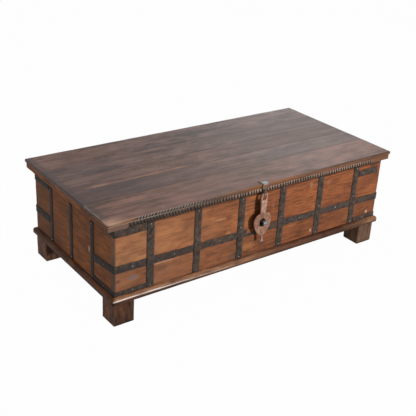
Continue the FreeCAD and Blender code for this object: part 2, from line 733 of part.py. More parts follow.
# The neck, and the leaf as shoulders of one radius and sides of a larger one that meet them smoothly
sketch = new_sketch(hasp, "XZ_Plane", hasp_plane)
rectangle(sketch, -half_neck, leaf_middle, half_neck, neck_top)
pad(hasp, sketch, S.hasp_thickness, symmetric=True)
for x_sign in (-1, 1):
    sketch = new_sketch(hasp, "XZ_Plane", hasp_plane)
    shoulder_centre = (S.leaf_shoulder_offset * x_sign, leaf_middle)
    side_end_x = (S.leaf_side_radius.value ** 2 - S.leaf_point_drop.value ** 2) ** 0.5 + side_centre.value
    corners = [FreeCAD.Vector(0, neck_bottom.value, 0), FreeCAD.Vector(0, leaf_point.value, 0),
               FreeCAD.Vector(side_end_x * x_sign, leaf_point.value, 0),
               FreeCAD.Vector(leaf_half_width.value * x_sign, leaf_middle.value, 0),
               FreeCAD.Vector(shoulder_centre[0].value, neck_bottom.value, 0)]
    shoulder_point = FreeCAD.Vector(
        shoulder_centre[0].value + S.leaf_shoulder_radius.value * diagonal * x_sign,
        leaf_middle.value + S.leaf_shoulder_radius.value * diagonal, 0)
    side_point = FreeCAD.Vector((side_centre.value + side_bulge) * x_sign, leaf_middle.value - half_drop, 0)
    sketch.addGeometry(Part.LineSegment(corners[0], corners[1]), False)
    sketch.addGeometry(Part.LineSegment(corners[1], corners[2]), False)
    sketch.addGeometry(Part.Arc(corners[2], side_point, corners[3]), False)
    sketch.addGeometry(Part.Arc(corners[3], shoulder_point, corners[4]), False)
    sketch.addGeometry(Part.LineSegment(corners[4], corners[0]), False)
    # An arc is stored counter-clockwise, so on the left its start and end change places
    arc_start, arc_end = (1, 2) if x_sign > 0 else (2, 1)
    sketch.addConstraint(Sketcher.Constraint("Coincident", 0, 2, 1, 1))
    sketch.addConstraint(Sketcher.Constraint("Coincident", 1, 2, 2, arc_start))
    sketch.addConstraint(Sketcher.Constraint("Coincident", 2, arc_end, 3, arc_start))
    sketch.addConstraint(Sketcher.Constraint("Coincident", 3, arc_end, 4, 1))
    sketch.addConstraint(Sketcher.Constraint("Coincident", 4, 2, 0, 1))
    tie(sketch, "DistanceX", 0, 1, ZERO)
    tie(sketch, "DistanceY", 0, 1, neck_bottom)
    tie(sketch, "DistanceX", 1, 1, ZERO)
    tie(sketch, "DistanceY", 1, 1, leaf_point)
    tie(sketch, "DistanceY", 2, arc_start, leaf_point)
    tie(sketch, "DistanceX", 2, 3, side_centre * x_sign)
    tie(sketch, "DistanceY", 2, 3, leaf_middle)
    tie(sketch, "DistanceX", 3, 3, shoulder_centre[0])
    tie(sketch, "DistanceY", 3, 3, leaf_middle)
    tie(sketch, "DistanceX", 3, arc_end, shoulder_centre[0])
    tie(sketch, "DistanceY", 3, arc_end, neck_bottom)
    tie(sketch, "DistanceY", 3, arc_start, leaf_middle)
    pad(hasp, sketch, S.hasp_thickness, symmetric=True)

# The tail, with a flared end
tail_bottom = leaf_point - S.tail_length
flare_top = tail_bottom + S.tail_flare_length
half_flare = S.tail_flare / 2
sketch = new_sketch(hasp, "XZ_Plane", hasp_plane)
polygon(sketch, [(-half_tail, leaf_middle), (-half_tail, flare_top), (-half_flare, tail_bottom),
                 (half_flare, tail_bottom), (half_tail, flare_top), (half_tail, leaf_middle)])
pad(hasp, sketch, S.hasp_thickness, symmetric=True)

# The collar across the neck
collar_middle = eye_z - S.collar_drop
sketch = new_sketch(hasp, "XZ_Plane", hasp_plane)
rectangle(sketch, S.collar_width / -2, collar_middle - S.collar_height / 2,
          S.collar_width / 2, collar_middle + S.collar_height / 2)
pad(hasp, sketch, S.collar_thickness, symmetric=True)

# The hole that goes over the staple
hole_middle = leaf_middle - S.hasp_hole_drop
sketch = new_sketch(hasp, "XZ_Plane", hasp_plane)
hole_x, hole_z = S.hasp_hole_width / 2, S.hasp_hole_height / 2
flat_x, flat_z = hole_x - S.hasp_hole_round, hole_z - S.hasp_hole_round
polygon(sketch, [(-flat_x, hole_middle - hole_z), (flat_x, hole_middle - hole_z),
                 (hole_x, hole_middle - flat_z), (hole_x, hole_middle + flat_z),
                 (flat_x, hole_middle + hole_z), (-flat_x, hole_middle + hole_z),
                 (-hole_x, hole_middle + flat_z), (-hole_x, hole_middle - flat_z)])
pocket(hasp, sketch, S.collar_thickness * 2)

# The loop: round bar bent over the top, swept from one side of the neck to the other
loop_foot = neck_top - S.loop_lap
bend_start = eye_z - S.loop_bend
flat_half = S.loop_half_width - S.loop_bend
path = new_sketch(hasp, "XZ_Plane", -eye_y)
bend_x = flat_half + S.loop_bend * diagonal
bend_z = bend_start + S.loop_bend * diagonal
left_bend = Part.Arc(spot(-S.loop_half_width, bend_start), spot(-bend_x, bend_z), spot(-flat_half, eye_z))
right_bend = Part.Arc(spot(flat_half, eye_z), spot(bend_x, bend_z), spot(S.loop_half_width, bend_start))
left_foot, right_foot = spot(-S.loop_half_width, loop_foot), spot(S.loop_half_width, loop_foot)
path.addGeometry(Part.LineSegment(left_foot, spot(-S.loop_half_width, bend_start)), False)
path.addGeometry(left_bend, False)
path.addGeometry(Part.LineSegment(spot(-flat_half, eye_z), spot(flat_half, eye_z)), False)
path.addGeometry(right_bend, False)
path.addGeometry(Part.LineSegment(spot(S.loop_half_width, bend_start), right_foot), False)
path.addConstraint(Sketcher.Constraint("Coincident", 0, 2, 1, 2))
path.addConstraint(Sketcher.Constraint("Coincident", 1, 1, 2, 1))
path.addConstraint(Sketcher.Constraint("Coincident", 2, 2, 3, 2))
path.addConstraint(Sketcher.Constraint("Coincident", 3, 1, 4, 1))
tie(path, "DistanceX", 0, 1, -S.loop_half_width)
tie(path, "DistanceY", 0, 1, loop_foot)
tie(path, "DistanceX", 4, 2, S.loop_half_width)
tie(path, "DistanceY", 4, 2, loop_foot)
tie(path, "DistanceX", 1, 3, -flat_half)
tie(path, "DistanceY", 1, 3, bend_start)
tie(path, "DistanceX", 3, 3, flat_half)
tie(path, "DistanceY", 3, 3, bend_start)
tie(path, "DistanceX", 0, 2, -S.loop_half_width)
tie(path, "DistanceY", 0, 2, bend_start)
tie(path, "DistanceX", 2, 1, -flat_half)
tie(path, "DistanceX", 2, 2, flat_half)
tie(path, "DistanceY", 2, 2, eye_z)
tie(path, "DistanceY", 4, 1, bend_start)
section = new_sketch(hasp, "XY_Plane", loop_foot)
circle(section, -S.loop_half_width, eye_y, S.loop_bar_radius)
doc.recompute()
loop = hasp.newObject("PartDesign::AdditivePipe", "hasp_loop")
loop.Profile = section
loop.Spine = path
doc.recompute()

# Padlock staple: flat iron bent to a U, its legs through the upper front board
staple = new_body("padlock_staple")
staple_outer = S.staple_inner_radius + S.staple_thickness
staple_tip = -(half_width + S.staple_reach)
bend_y = staple_tip + staple_outer
sketch = new_sketch(staple, "YZ_Plane")
rectangle(sketch, bend_y, hole_middle - staple_outer, -inner_half_width, hole_middle + staple_outer)
pad(staple, sketch, S.staple_width, symmetric=True)
sketch = new_sketch(staple, "YZ_Plane")
circle(sketch, bend_y, hole_middle, staple_outer)
pad(staple, sketch, S.staple_width, symmetric=True)
sketch = new_sketch(staple, "YZ_Plane")
rectangle(sketch, bend_y, hole_middle - S.staple_inner_radius,
          -inner_half_width + S.staple_thickness, hole_middle + S.staple_inner_radius)
pocket(staple, sketch, S.staple_width * 2)
sketch = new_sketch(staple, "YZ_Plane")
circle(sketch, bend_y, hole_middle, S.staple_inner_radius)
pocket(staple, sketch, S.staple_width * 2)

# The hanger, the hasp and the staple stand together, left of the middle
lock_x = -S.lock_shift
for fitting in (hanger, hasp, staple):
    fitting.setExpression("Placement.Base.x", lock_x.text)

# Slots in the upper front board for the staple's legs
through_wall = S.wall_thickness * 4
for z_sign in (-1, 1):
    leg_middle = hole_middle + (S.staple_inner_radius + S.staple_thickness / 2) * z_sign
    half_slot = S.staple_thickness / 2 + S.staple_slot_clearance
    slot_x = S.staple_width / 2 + S.staple_slot_clearance
    sketch = new_sketch(front_upper, "XZ_Plane", half_width)
    rectangle(sketch, lock_x - slot_x, leg_middle - half_slot, lock_x + slot_x, leg_middle + half_slot)
    pocket(front_upper, sketch, through_wall)

doc.recompute()
for item in doc.Objects:
    if "Invalid" in item.State or "Error" in item.State:
        raise RuntimeError(f"{item.Label} failed: {item.State}")
for part in sub_parts:
    if part.Shape.isNull() or not part.Shape.isValid():
        raise RuntimeError(f"{part.Label} has no valid shape")

os.makedirs("parts", exist_ok=True)
for part in sub_parts:
    part.Shape.exportStep(f"parts/{part.Label}.step")
print(len(sub_parts), "sub-parts written")
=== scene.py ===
"""Trunk coffee table of old teak planks, bound with forged iron straps, with a hinged lid and a leaf-shaped hasp."""
import math
import bmesh
import bpy
from mathutils import Matrix, Vector, noise


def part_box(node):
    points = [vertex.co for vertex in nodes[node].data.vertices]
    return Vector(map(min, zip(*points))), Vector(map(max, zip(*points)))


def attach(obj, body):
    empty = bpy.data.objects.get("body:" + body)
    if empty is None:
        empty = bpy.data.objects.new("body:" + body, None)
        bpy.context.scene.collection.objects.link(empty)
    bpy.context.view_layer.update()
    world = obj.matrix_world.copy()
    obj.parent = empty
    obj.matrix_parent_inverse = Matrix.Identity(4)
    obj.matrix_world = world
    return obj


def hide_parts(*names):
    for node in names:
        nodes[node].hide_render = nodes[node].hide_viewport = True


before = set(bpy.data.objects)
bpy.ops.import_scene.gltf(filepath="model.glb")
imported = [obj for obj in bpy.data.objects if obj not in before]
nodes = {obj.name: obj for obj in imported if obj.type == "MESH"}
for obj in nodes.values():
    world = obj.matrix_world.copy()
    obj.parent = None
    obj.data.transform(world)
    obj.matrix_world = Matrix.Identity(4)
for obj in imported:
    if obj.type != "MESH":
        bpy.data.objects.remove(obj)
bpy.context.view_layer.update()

# Feet
# Four short square posts of dark waxed teak under the corners of the chest.
# Sawn across at both ends, their corners rubbed round and knocked by years of being dragged about.
MM = 0.001


def linear(code):
    """An sRGB hex colour as linear red, green, blue and alpha."""
    parts = [int(code[k:k + 2], 16) / 255 for k in (1, 3, 5)]
    return [p / 12.92 if p <= 0.04045 else ((p + 0.055) / 1.055) ** 2.4 for p in parts] + [1]


def add(tree, kind, inputs=None, **settings):
    """Adds one node. Settings are its properties, inputs are values or other nodes' outputs."""
    made = tree.nodes.new(kind)
    for name, value in settings.items():
        setattr(made, name, value)
    for name, value in (inputs or {}).items():
        if isinstance(value, bpy.types.NodeSocket):
            tree.links.new(value, made.inputs[name])
        else:
            made.inputs[name].default_value = value
    return made


def new_piece(name, points, faces, material, smooth=True):
    """A mesh object from points and faces, with one material."""
    mesh = bpy.data.meshes.new(name)
    mesh.from_pydata(points, [], faces)
    mesh.validate()
    for face in mesh.polygons:
        face.use_smooth = smooth
    mesh.materials.append(material)
    piece = bpy.data.objects.new(name, mesh)
    bpy.context.scene.collection.objects.link(piece)
    return piece


def mark_wear(piece, wear):
    """Stores how far each point is rubbed, for the wood's worn colour."""
    layer = piece.data.attributes.new("wear", "FLOAT", "POINT")
    layer.data.foreach_set("value", wear)


def worn_board(name, low, high, rounds, material, seed, hollow=0.3 * MM, step=22 * MM, knocks=()):
    """A sawn board between two corners, its edges worn round by an uneven amount.

    rounds gives the rounding at the low and the high side of each axis; knocks are places where
    the edge is worn away further, each as a point, a reach and an extra rounding."""
    # How far apart the unevenness of the edges and the hollows of the faces lie
    uneven_run, hollow_run = 34 * MM, 55 * MM
    # The lines of the grid lie closer together in the roundings
    lines = []
    for axis in range(3):
        first, last = rounds[axis]
        start, end = low[axis] + first, high[axis] - last
        count = max(1, round((end - start) / step))
        row = [low[axis], low[axis] + first * 0.25, low[axis] + first * 0.6, start]
        row += [start + 1 * MM + (end - start - 2 * MM) * k / count for k in range(count + 1)]
        row += [end, high[axis] - last * 0.6, high[axis] - last * 0.25, high[axis]]
        lines.append(row)
    points, wear, index = [], [], {}
    shift = Vector((seed * 1.7, seed * 3.1, seed * 0.9))

    def corner(i, j, k):
        if (i, j, k) in index:
            return index[i, j, k]
        place = Vector((lines[0][i], lines[1][j], lines[2][k]))
        # The rounding grows and shrinks along an edge, and more is gone where it was knocked
        uneven = 0.8 + 0.35 * noise.noise(place / uneven_run + shift)
        extra = sum(more * max(0, 1 - (place - Vector(at)).length / reach) for at, reach, more in knocks)
        out, inset = Vector(), Vector()
        for axis in range(3):
            first, last = rounds[axis]
            toward_low = first * uneven + extra
            toward_high = last * uneven + extra
            if place[axis] < low[axis] + toward_low:
                out[axis] = (place[axis] - low[axis] - toward_low) / toward_low
                inset[axis] = toward_low
            elif place[axis] > high[axis] - toward_high:
                out[axis] = (place[axis] - high[axis] + toward_high) / toward_high
                inset[axis] = toward_high
        size = out.length
        away = out / size if size else Vector((0, 0, 1))
        moved = place - Vector([inset[a] * (out[a] - away[a]) for a in range(3)]) if size > 1 else place.copy()
        moved -= away * hollow * (0.5 + 0.5 * noise.noise(place / hollow_run - shift))
        index[i, j, k] = len(points)
        points.append(moved)
        # Only where two faces meet is the wood rubbed
        wear.append(min(1, max(0, (size - 1) / 0.35)))
        return index[i, j, k]

    faces = []
    counts = [len(row) for row in lines]
    for axis in range(3):
        across, up = (axis + 1) % 3, (axis + 2) % 3
        for side in (0, counts[axis] - 1):
            for a in range(counts[across] - 1):
                for b in range(counts[up] - 1):
                    ring = []
                    for da, db in ((0, 0), (1, 0), (1, 1), (0, 1)):
                        at = [0, 0, 0]
                        at[axis], at[across], at[up] = side, a + da, b + db
                        ring.append(corner(*at))
                    faces.append(ring if side else ring[::-1])
    piece = new_piece(name, points, faces, material)
    mark_wear(piece, wear)
    return piece


def stained(tree, where, colour, uneven, stains):
    """Lays stains over a colour, broken up by an uneven pattern. Each stain is a colour, an amount and ramps;
    a ramp is an axis and the two places in millimetres between which the stain comes in."""
    apart = add(tree, "ShaderNodeSeparateXYZ", {0: where}).outputs
    for stain, amount, ramps in stains:
        share = add(tree, "ShaderNodeMapRange", {0: uneven, 1: 0.3, 2: 0.6, 3: 0.35 * amount, 4: amount}).outputs[0]
        for axis, first, last in ramps:
            place = apart["XYZ".index(axis)]
            edge = add(tree, "ShaderNodeMapRange", {0: place, 1: first * MM, 2: last * MM}).outputs[0]
            share = add(tree, "ShaderNodeMath", {0: share, 1: edge}, operation="MULTIPLY", use_clamp=True).outputs[0]
        colour = add(tree, "ShaderNodeMix", {0: share, 6: colour, 7: linear(stain)}, data_type="RGBA").outputs[2]
    return colour


def old_teak(name, pale, middle, dark, grain, seed, streak=(4.5, 75), spread=0.1, fleck=0.26, worn="#A08672",
             rub=0.8, fade=None, stains=(), marks=(), crevice_dirt_and_shade=0.8, roughness=0.6, gloss=0.1):
    """Old waxed teak: brown streaks and clouds along the grain, dark checks, small pale scuffs, and dirt with painted
    shade in the corners, from ambient occlusion. Edges are rubbed towards the worn colour, less so along the fade from
    one x to another.
    A mark is a place along the grain and a height, its reach both ways in millimetres, a colour and an amount."""
    material = bpy.data.materials.new(name)
    material.use_nodes = True
    tree = material.node_tree
    shader = tree.nodes["Principled BSDF"]
    where = add(tree, "ShaderNodeTexCoord").outputs["Object"]
    grain_axis = "XYZ".index(grain)
    # Width across and length along the grain in millimetres, then detail and roughness.
    # Real fibres are about 0.5 mm wide; they are drawn 2 mm wide so that they show.
    figure = {"streaks": (*streak, 5, 0.68), "blotches": (34, 75, 5, 0.6), "clouds": (110, 200, 3, 0.55),
              "fibres": (2, 18, 4, 0.75), "flecks": (3, 46, 2, 0.6), "checks": (2.6, 75, 2, 0.5),
              "scuffs": (6, 11, 3, 0.6)}
    # The seed moves the figure, so that no two boards show the same piece of it
    shift = (seed * 0.737, seed * 1.311, seed * 0.529)
    for part, (across, along, detail, rough) in figure.items():
        scale = [1 / (across * MM)] * 3
        scale[grain_axis] = 1 / (along * MM)
        mapped = add(tree, "ShaderNodeMapping", {"Vector": where, "Location": shift, "Scale": scale}).outputs[0]
        figure[part] = add(tree, "ShaderNodeTexNoise", {"Vector": mapped, "Scale": 1, "Detail": detail,
                                                        "Roughness": rough, "Distortion": 0.4}).outputs[0]

    # From dark to pale by the streaks, blotches and clouds together
    tone = add(tree, "ShaderNodeMath", {0: figure["blotches"], 1: 0.28}, operation="MULTIPLY").outputs[0]
    for part, weight in (("streaks", 0.47), ("clouds", 0.25)):
        tone = add(tree, "ShaderNodeMath", {0: figure[part], 1: weight, 2: tone}, operation="MULTIPLY_ADD").outputs[0]
    ramp = add(tree, "ShaderNodeValToRGB", {"Fac": tone})
    ramp.color_ramp.elements[0].position = 0.5 - spread
    ramp.color_ramp.elements[0].color = linear(dark)
    ramp.color_ramp.elements[1].position = 0.5 + spread
    ramp.color_ramp.elements[1].color = linear(pale)
    ramp.color_ramp.elements.new(0.5).color = linear(middle)
    colour = ramp.outputs[0]
    # Finer light and dark, then dark checks and pale scuffs
    for part, change in (("fibres", 0.18), ("flecks", fleck)):
        level = add(tree, "ShaderNodeMapRange", {0: figure[part], 1: 0.3, 2: 0.7, 3: 1 - change, 4: 1 + change})
        colour = add(tree, "ShaderNodeMix", {0: 1.0, 6: colour, 7: level.outputs[0]}, data_type="RGBA",
                     blend_type="MULTIPLY").outputs[2]
    for part, first, last, amount, tint in (("checks", 0.6, 0.68, 0.6, dark), ("scuffs", 0.68, 0.76, 0.4, worn)):
        share = add(tree, "ShaderNodeMapRange", {0: figure[part], 1: first, 2: last, 3: 0.0, 4: amount}).outputs[0]
        colour = add(tree, "ShaderNodeMix", {0: share, 6: colour, 7: linear(tint)}, data_type="RGBA").outputs[2]
    colour = stained(tree, where, colour, figure["blotches"], stains)

    # Single marks with ragged edges
    for along, height, reach_along, reach_up, tint, amount in marks:
        scale, middle_of = [0, 0, 1 / (reach_up * MM)], [0, 0, -height / reach_up]
        scale[grain_axis], middle_of[grain_axis] = 1 / (reach_along * MM), -along / reach_along
        mapped = add(tree, "ShaderNodeMapping", {"Vector": where, "Location": middle_of, "Scale": scale}).outputs[0]
        away = add(tree, "ShaderNodeVectorMath", {0: mapped}, operation="LENGTH").outputs["Value"]
        away = add(tree, "ShaderNodeMath", {0: figure["scuffs"], 1: 1.6, 2: away}, operation="MULTIPLY_ADD").outputs[0]
        share = add(tree, "ShaderNodeMapRange", {0: away, 1: 1.9, 2: 1.3, 3: 0.0, 4: amount}).outputs[0]
        colour = add(tree, "ShaderNodeMix", {0: share, 6: colour, 7: linear(tint)}, data_type="RGBA").outputs[2]

    # Dirt and painted shade where the wood meets other pieces, darker where the ambient occlusion is deeper, then the
    # rubbed edges
    open_air = add(tree, "ShaderNodeAmbientOcclusion", {"Distance": 20 * MM}, samples=6).outputs["AO"]
    share = add(tree, "ShaderNodeMapRange", {0: open_air, 1: 0.92, 2: 0.35, 3: 0.0, 4: crevice_dirt_and_shade}).outputs[0]
    colour = add(tree, "ShaderNodeMix", {0: share, 6: colour, 7: linear("#17100C")}, data_type="RGBA").outputs[2]

    share = add(tree, "ShaderNodeMapRange", {0: figure["blotches"], 1: 0.36, 2: 0.56, 3: 0.25 * rub, 4: rub}).outputs[0]
    rubbed = add(tree, "ShaderNodeAttribute", attribute_name="wear").outputs["Fac"]
    rubbed = add(tree, "ShaderNodeMath", {0: rubbed, 1: share}, operation="MULTIPLY").outputs[0]
    if fade:
        x = add(tree, "ShaderNodeSeparateXYZ", {0: where}).outputs["X"]
        level = add(tree, "ShaderNodeMapRange", {0: x, 1: fade[0] * MM, 2: fade[1] * MM, 3: 1.0, 4: 0.0}).outputs[0]
        rubbed = add(tree, "ShaderNodeMath", {0: rubbed, 1: level}, operation="MULTIPLY").outputs[0]
    colour = add(tree, "ShaderNodeMix", {0: rubbed, 6: colour, 7: linear(worn)}, data_type="RGBA").outputs[2]
    tree.links.new(colour, shader.inputs["Base Color"])

    dull = add(tree, "ShaderNodeMapRange", {0: figure["fibres"], 1: 0.3, 2: 0.7,
                                            3: roughness + 0.08, 4: roughness - 0.06})
    tree.links.new(dull.outputs[0], shader.inputs["Roughness"])
    height = add(tree, "ShaderNodeMath", {0: figure["streaks"], 1: 0.9, 2: figure["fibres"]}, operation="MULTIPLY_ADD")
    raised = add(tree, "ShaderNodeBump", {"Strength": 0.35, "Distance": 0.8 * MM, "Height": height.outputs[0]})
    tree.links.new(raised.outputs[0], shader.inputs["Normal"])
    shader.inputs["Specular IOR Level"].default_value = gloss
    return material


foot_round = 4 * MM
# Dark wax over teak: brown to nearly black streaks up the post, a low sheen, and corners rubbed paler.
# The right feet have faded, and the front faces of both are painted darker than their sides, as shade.
foot_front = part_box("foot_front_left")[0].y / MM
painted_shade_front = ("#2C1B13", 0.4, [("Y", foot_front + 3, foot_front + 1)])
painted_shade_front_right = ("#56402F", 0.6, [("Y", foot_front + 3, foot_front + 1)])
foot_teak = {
    "left": old_teak("old_teak_feet_left", "#7C5036", "#543525", "#2A1A13", "Z", 3, streak=(13, 40), spread=0.09,
                     worn="#9A7A62", rub=0.5, stains=[painted_shade_front]),
    "right": old_teak("old_teak_feet_right", "#B08A70", "#8C6952", "#54392A", "Z", 4, streak=(13, 60), spread=0.12,
                      worn="#A88C74", rub=0.9, stains=[painted_shade_front_right])}
for number, (depth, side) in enumerate((d, s) for d in ("front", "back") for s in ("left", "right")):
    node = f"foot_{depth}_{side}"
    low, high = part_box(node)
    foot = worn_board(f"{node}_worn", low, high, [(foot_round, foot_round)] * 3, foot_teak[side], 20 + number,
                      step=12 * MM)
    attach(foot, "chest")
    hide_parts(node)

# Base mouldings
# Four strips of teak between the feet and the walls, mitred at the corners, rounded from the wall down to a low arris.
# Nailed up from below; the front one is rubbed bare along its arris near the left corner, where a near-white line is
# painted as a highlight.
moulding_low, moulding_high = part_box("plinth_front")
# Waxed teak: reddish brown with a low sheen, a near-white line where the front is rubbed bare that is also a painted
# highlight, and a dark foot that is painted shade
moulding_foot = moulding_low.z / MM
# The lowest band of the mouldings is painted dark as shade
underside = ("#3A261B", 0.9, [("Z", moulding_foot + 9.5, moulding_foot + 7)])
underside_left = ("#3A261B", 0.9, [("Z", moulding_foot + 13.5, moulding_foot + 11), ("X", -230, -330)])
dark_right = ("#4A2817", 0.8, [("X", -120, 160), ("X", 540, 470)])
darker_end = ("#361A0B", 0.75, [("X", 130, 270), ("X", 470, 400)])
moulding_teak = {
    # The front's worn colour is near white: along the rubbed line it is a painted highlight as well as wear
    "front": old_teak("old_teak_moulding_front", "#B07F5E", "#8E6248", "#57392A", "X", 5, worn="#E6DAD2", rub=1.0,
                      fade=(-430, -60), stains=[dark_right, darker_end, underside, underside_left], crevice_dirt_and_shade=0.1),
    "back": old_teak("old_teak_moulding_back", "#8A5A3B", "#664028", "#382217", "X", 7, rub=0.3),
    "left": old_teak("old_teak_moulding_left", "#704730", "#4E3122", "#2A1912", "Y", 6, rub=0.1,
                     stains=[underside, underside_left], crevice_dirt_and_shade=0.5),
    "right": old_teak("old_teak_moulding_right", "#8A5A3B", "#633D27", "#352016", "Y", 8, rub=0.3)}


def turn_outwards(piece):
    """Turns all faces outwards."""
    work = bmesh.new()
    work.from_mesh(piece.data)
    bmesh.ops.recalc_face_normals(work, faces=work.faces)
    work.to_mesh(piece.data)
    work.free()


def skinned(start, end, size):
    """Faces over the points from start to end, which are rings of one size in a row, closed at both ends."""
    rings = [list(range(at, at + size)) for at in range(start, end, size)]
    faces = [rings[0][::-1], rings[-1]]
    for a, b in zip(rings, rings[1:]):
        faces += [[a[k - 1], a[k], b[k], b[k - 1]] for k in range(size)]
    return faces


outer_x = moulding_high.x
outer_y = -moulding_low.y
top_z, bottom_z = moulding_high.z, moulding_low.z
breadth = moulding_high.y - moulding_low.y
top_round, arris, moulding_step = 12 * MM, 4 * MM, 14 * MM
wear_depth, wear_run, wear_rise = 0.9 * MM, 45 * MM, 9 * MM
# The rubbed line, painted near white as a highlight as well: its height at the left, how far and from where it falls to
# the right, and half its width
rubbed_highlight_height, rubbed_highlight_fall, rubbed_highlight_start, rubbed_highlight_run, rubbed_highlight_half = 14.6 * MM, 4 * MM, -430 * MM, 280 * MM, 1.8 * MM
quarter = [math.radians(90 * k / 12) for k in range(13)]
profile = [(breadth, top_z), (breadth * 0.7, top_z), (breadth * 0.45, top_z)]
profile += [(top_round * (1 - math.sin(a)), top_z - top_round * (1 - math.cos(a))) for a in quarter]
profile += [(0, bottom_z + rise) for rise in (12.6 * MM, 11 * MM, 9.5 * MM, 8 * MM)]
profile += [(arris * (1 - math.cos(a)), bottom_z + arris * (1 - math.sin(a))) for a in quarter[::4]]
profile += [(breadth * 0.5, bottom_z), (breadth, bottom_z)]
for side, along, sign in (("front", "x", -1), ("back", "x", 1), ("left", "y", -1), ("right", "y", 1)):
    half_run, outer = (outer_x, outer_y) if along == "x" else (outer_y, outer_x)
    count = round(2 * half_run / moulding_step)
    points, wear = [], []
    for k in range(count + 1):
        for inset, z in profile:
            run = (2 * k / count - 1) * (half_run - inset)
            worn_in = 0
            if inset < top_round:
                worn_in = wear_depth * (0.5 + 0.5 * noise.noise((run / wear_run, z / wear_rise, sign + outer)))
            across = sign * (outer - inset - worn_in)
            points.append((run, across, z) if along == "x" else (across, run, z))
            fallen = rubbed_highlight_fall * min(1, max(0, (run - rubbed_highlight_start) / rubbed_highlight_run))
            wear.append(1 if abs(z - bottom_z - rubbed_highlight_height + fallen) < rubbed_highlight_half else 0)
    faces = skinned(0, len(points), len(profile))
    moulding = new_piece(f"plinth_{side}_worn", points, faces, moulding_teak[side])
    mark_wear(moulding, wear)
    turn_outwards(moulding)
    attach(moulding, "chest")
    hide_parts(f"plinth_{side}")

# Floor of the chest
# Three loose boards on the ledge of the mouldings, with one bearer across their middle underneath.
# Left unwaxed, so duller and greyer than the outside.
floor_round = 1.5 * MM
# Dry teak as it left the saw: flat greyish brown, unwaxed, with hardly any sheen
floor_teak = old_teak("dry_teak_floor", "#8A6A50", "#6C5040", "#43322A", "X", 9, roughness=0.75)
bearer_teak = old_teak("dry_teak_bearer", "#80604A", "#624839", "#3D2E26", "Y", 10, roughness=0.75)
for number, node in enumerate(("floor_board_front", "floor_board_middle", "floor_board_back", "floor_bearer")):
    low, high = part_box(node)
    teak = bearer_teak if node == "floor_bearer" else floor_teak
    piece = worn_board(f"{node}_worn", low, high, [(floor_round, floor_round)] * 3, teak, 30 + number)
    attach(piece, "chest")
    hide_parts(node)

# Walls
# Two teak boards edge to edge along the front, one along the back, and an end board between them on each side.
# The front was kept waxed and has stayed orange brown; its left corner is rubbed grey, and the ends are darker.
wall_round = 1.6 * MM
wall_low, wall_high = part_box("front_board_lower")
left_x, right_x, front_y = wall_low.x, wall_high.x, wall_low.y
back_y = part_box("back_board")[1].y
left_mm = left_x / MM
# Waxed teak: warm orange brown with darker streaks and a low sheen, faded to the left.
# Its marks are pale bruises and scrapes and knots; the two dark patches beside the hasp are painted shadow, and so is
# the dark mark in the top right corner under the strip.
grey_corner = ("#3E3734", 0.85, [("X", left_mm + 8, left_mm + 3)])
faded = ("#BC8860", 0.62, [("X", 60, -540)])
lid_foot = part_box("carved_strip")[0].z / MM
# A dark band on the upper front board just below the lid's edge: painted shade under the overhang
painted_shade_under_lid = ("#2C1D15", 0.8, [("Z", lid_foot - 12.5, lid_foot - 9)])
faded_low = ("#96694E", 0.6, [("X", 120, -400)])
# The two dark marks near the hasp and the last, dark one at the top right are painted shadow; the rest are bruises,
# knots and stains
upper_marks_and_shadows = [(221, 312, 9, 12, "#BC8F74", 0.45), (304, 303, 10, 9, "#B4886C", 0.35),
               (48, 274, 8, 12, "#C08D68", 0.25), (-176, 275, 28, 4, "#CC9468", 0.6),
               (-138, 217, 14, 6, "#C58150", 0.6), (-300, 290, 30, 8, "#7E5038", 0.5),
               (330, 270, 26, 10, "#8A5434", 0.5), (-520, 270, 24, 10, "#8A5A40", 0.5),
               (-28, 278, 13, 40, "#3A2418", 0.45), (-36, 226, 18, 30, "#3A2418", 0.4),
               (505, 268, 44, 34, "#7E4A2C", 0.4), (536, 330, 34, 9, "#4E3A2E", 0.85)]
lower_marks = [(-385, 181, 60, 4, "#C08E70", 0.6), (240, 129, 6, 7, "#D8B498", 0.8),
               (528, 135, 6, 6, "#DEC6B0", 0.9), (-505, 159, 20, 7, "#6C686A", 0.8),
               (-558, 158, 11, 6, "#4A362B", 0.6), (-400, 162, 28, 12, "#6A4A36", 0.7),
               (-118, 119, 24, 10, "#6A4E3C", 0.7), (60, 150, 30, 7, "#74492F", 0.5),
               (150, 170, 20, 6, "#B2734A", 0.5), (372, 150, 56, 26, "#6A3F29", 0.5),
               (-52, 142, 36, 15, "#BC7B4A", 0.5)]
end_chip = (-115, 202, 6, 13, "#B09078", 0.9)
dark_rear = ("#5A3C26", 0.45, [("Y", 60, 200)])
upper_teak = old_teak("waxed_teak_front_upper", "#B86E3E", "#905434", "#532F20", "X", 11, spread=0.11, fleck=0.2,
                      rub=0.05, stains=[faded, painted_shade_under_lid, grey_corner], marks=upper_marks_and_shadows, crevice_dirt_and_shade=0.6)
lower_teak = old_teak("waxed_teak_front_lower", "#AA683C", "#874F30", "#50301F", "X", 12, spread=0.12, fleck=0.22,
                      rub=0.05, stains=[faded_low, grey_corner], marks=lower_marks, crevice_dirt_and_shade=0.15)
end_teak = old_teak("waxed_teak_ends", "#945A2E", "#704122", "#3C2414", "Y", 13, spread=0.13, fleck=0.3,
                    stains=[dark_rear], marks=[end_chip])
back_teak = old_teak("waxed_teak_back", "#8A5736", "#6C4128", "#402619", "X", 14)
wall_teak = {"front_board_upper": upper_teak, "front_board_lower": lower_teak, "back_board": back_teak,
             "end_board_left": end_teak, "end_board_right": end_teak}
for number, (node, teak) in enumerate(wall_teak.items()):
    low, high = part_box(node)
    piece = worn_board(f"{node}_worn", low, high, [(wall_round, wall_round)] * 3, teak, 40 + number)
    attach(piece, "chest")
    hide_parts(node)

# Iron straps
# Flat iron hammered out by hand, so its edges wander and its face is uneven.
# Nailed over the walls: level ones round the corners, upright ones lapped over the middle strap.
strap_low, strap_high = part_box("front_middle_strap")
strap_thickness = front_y - strap_low.y


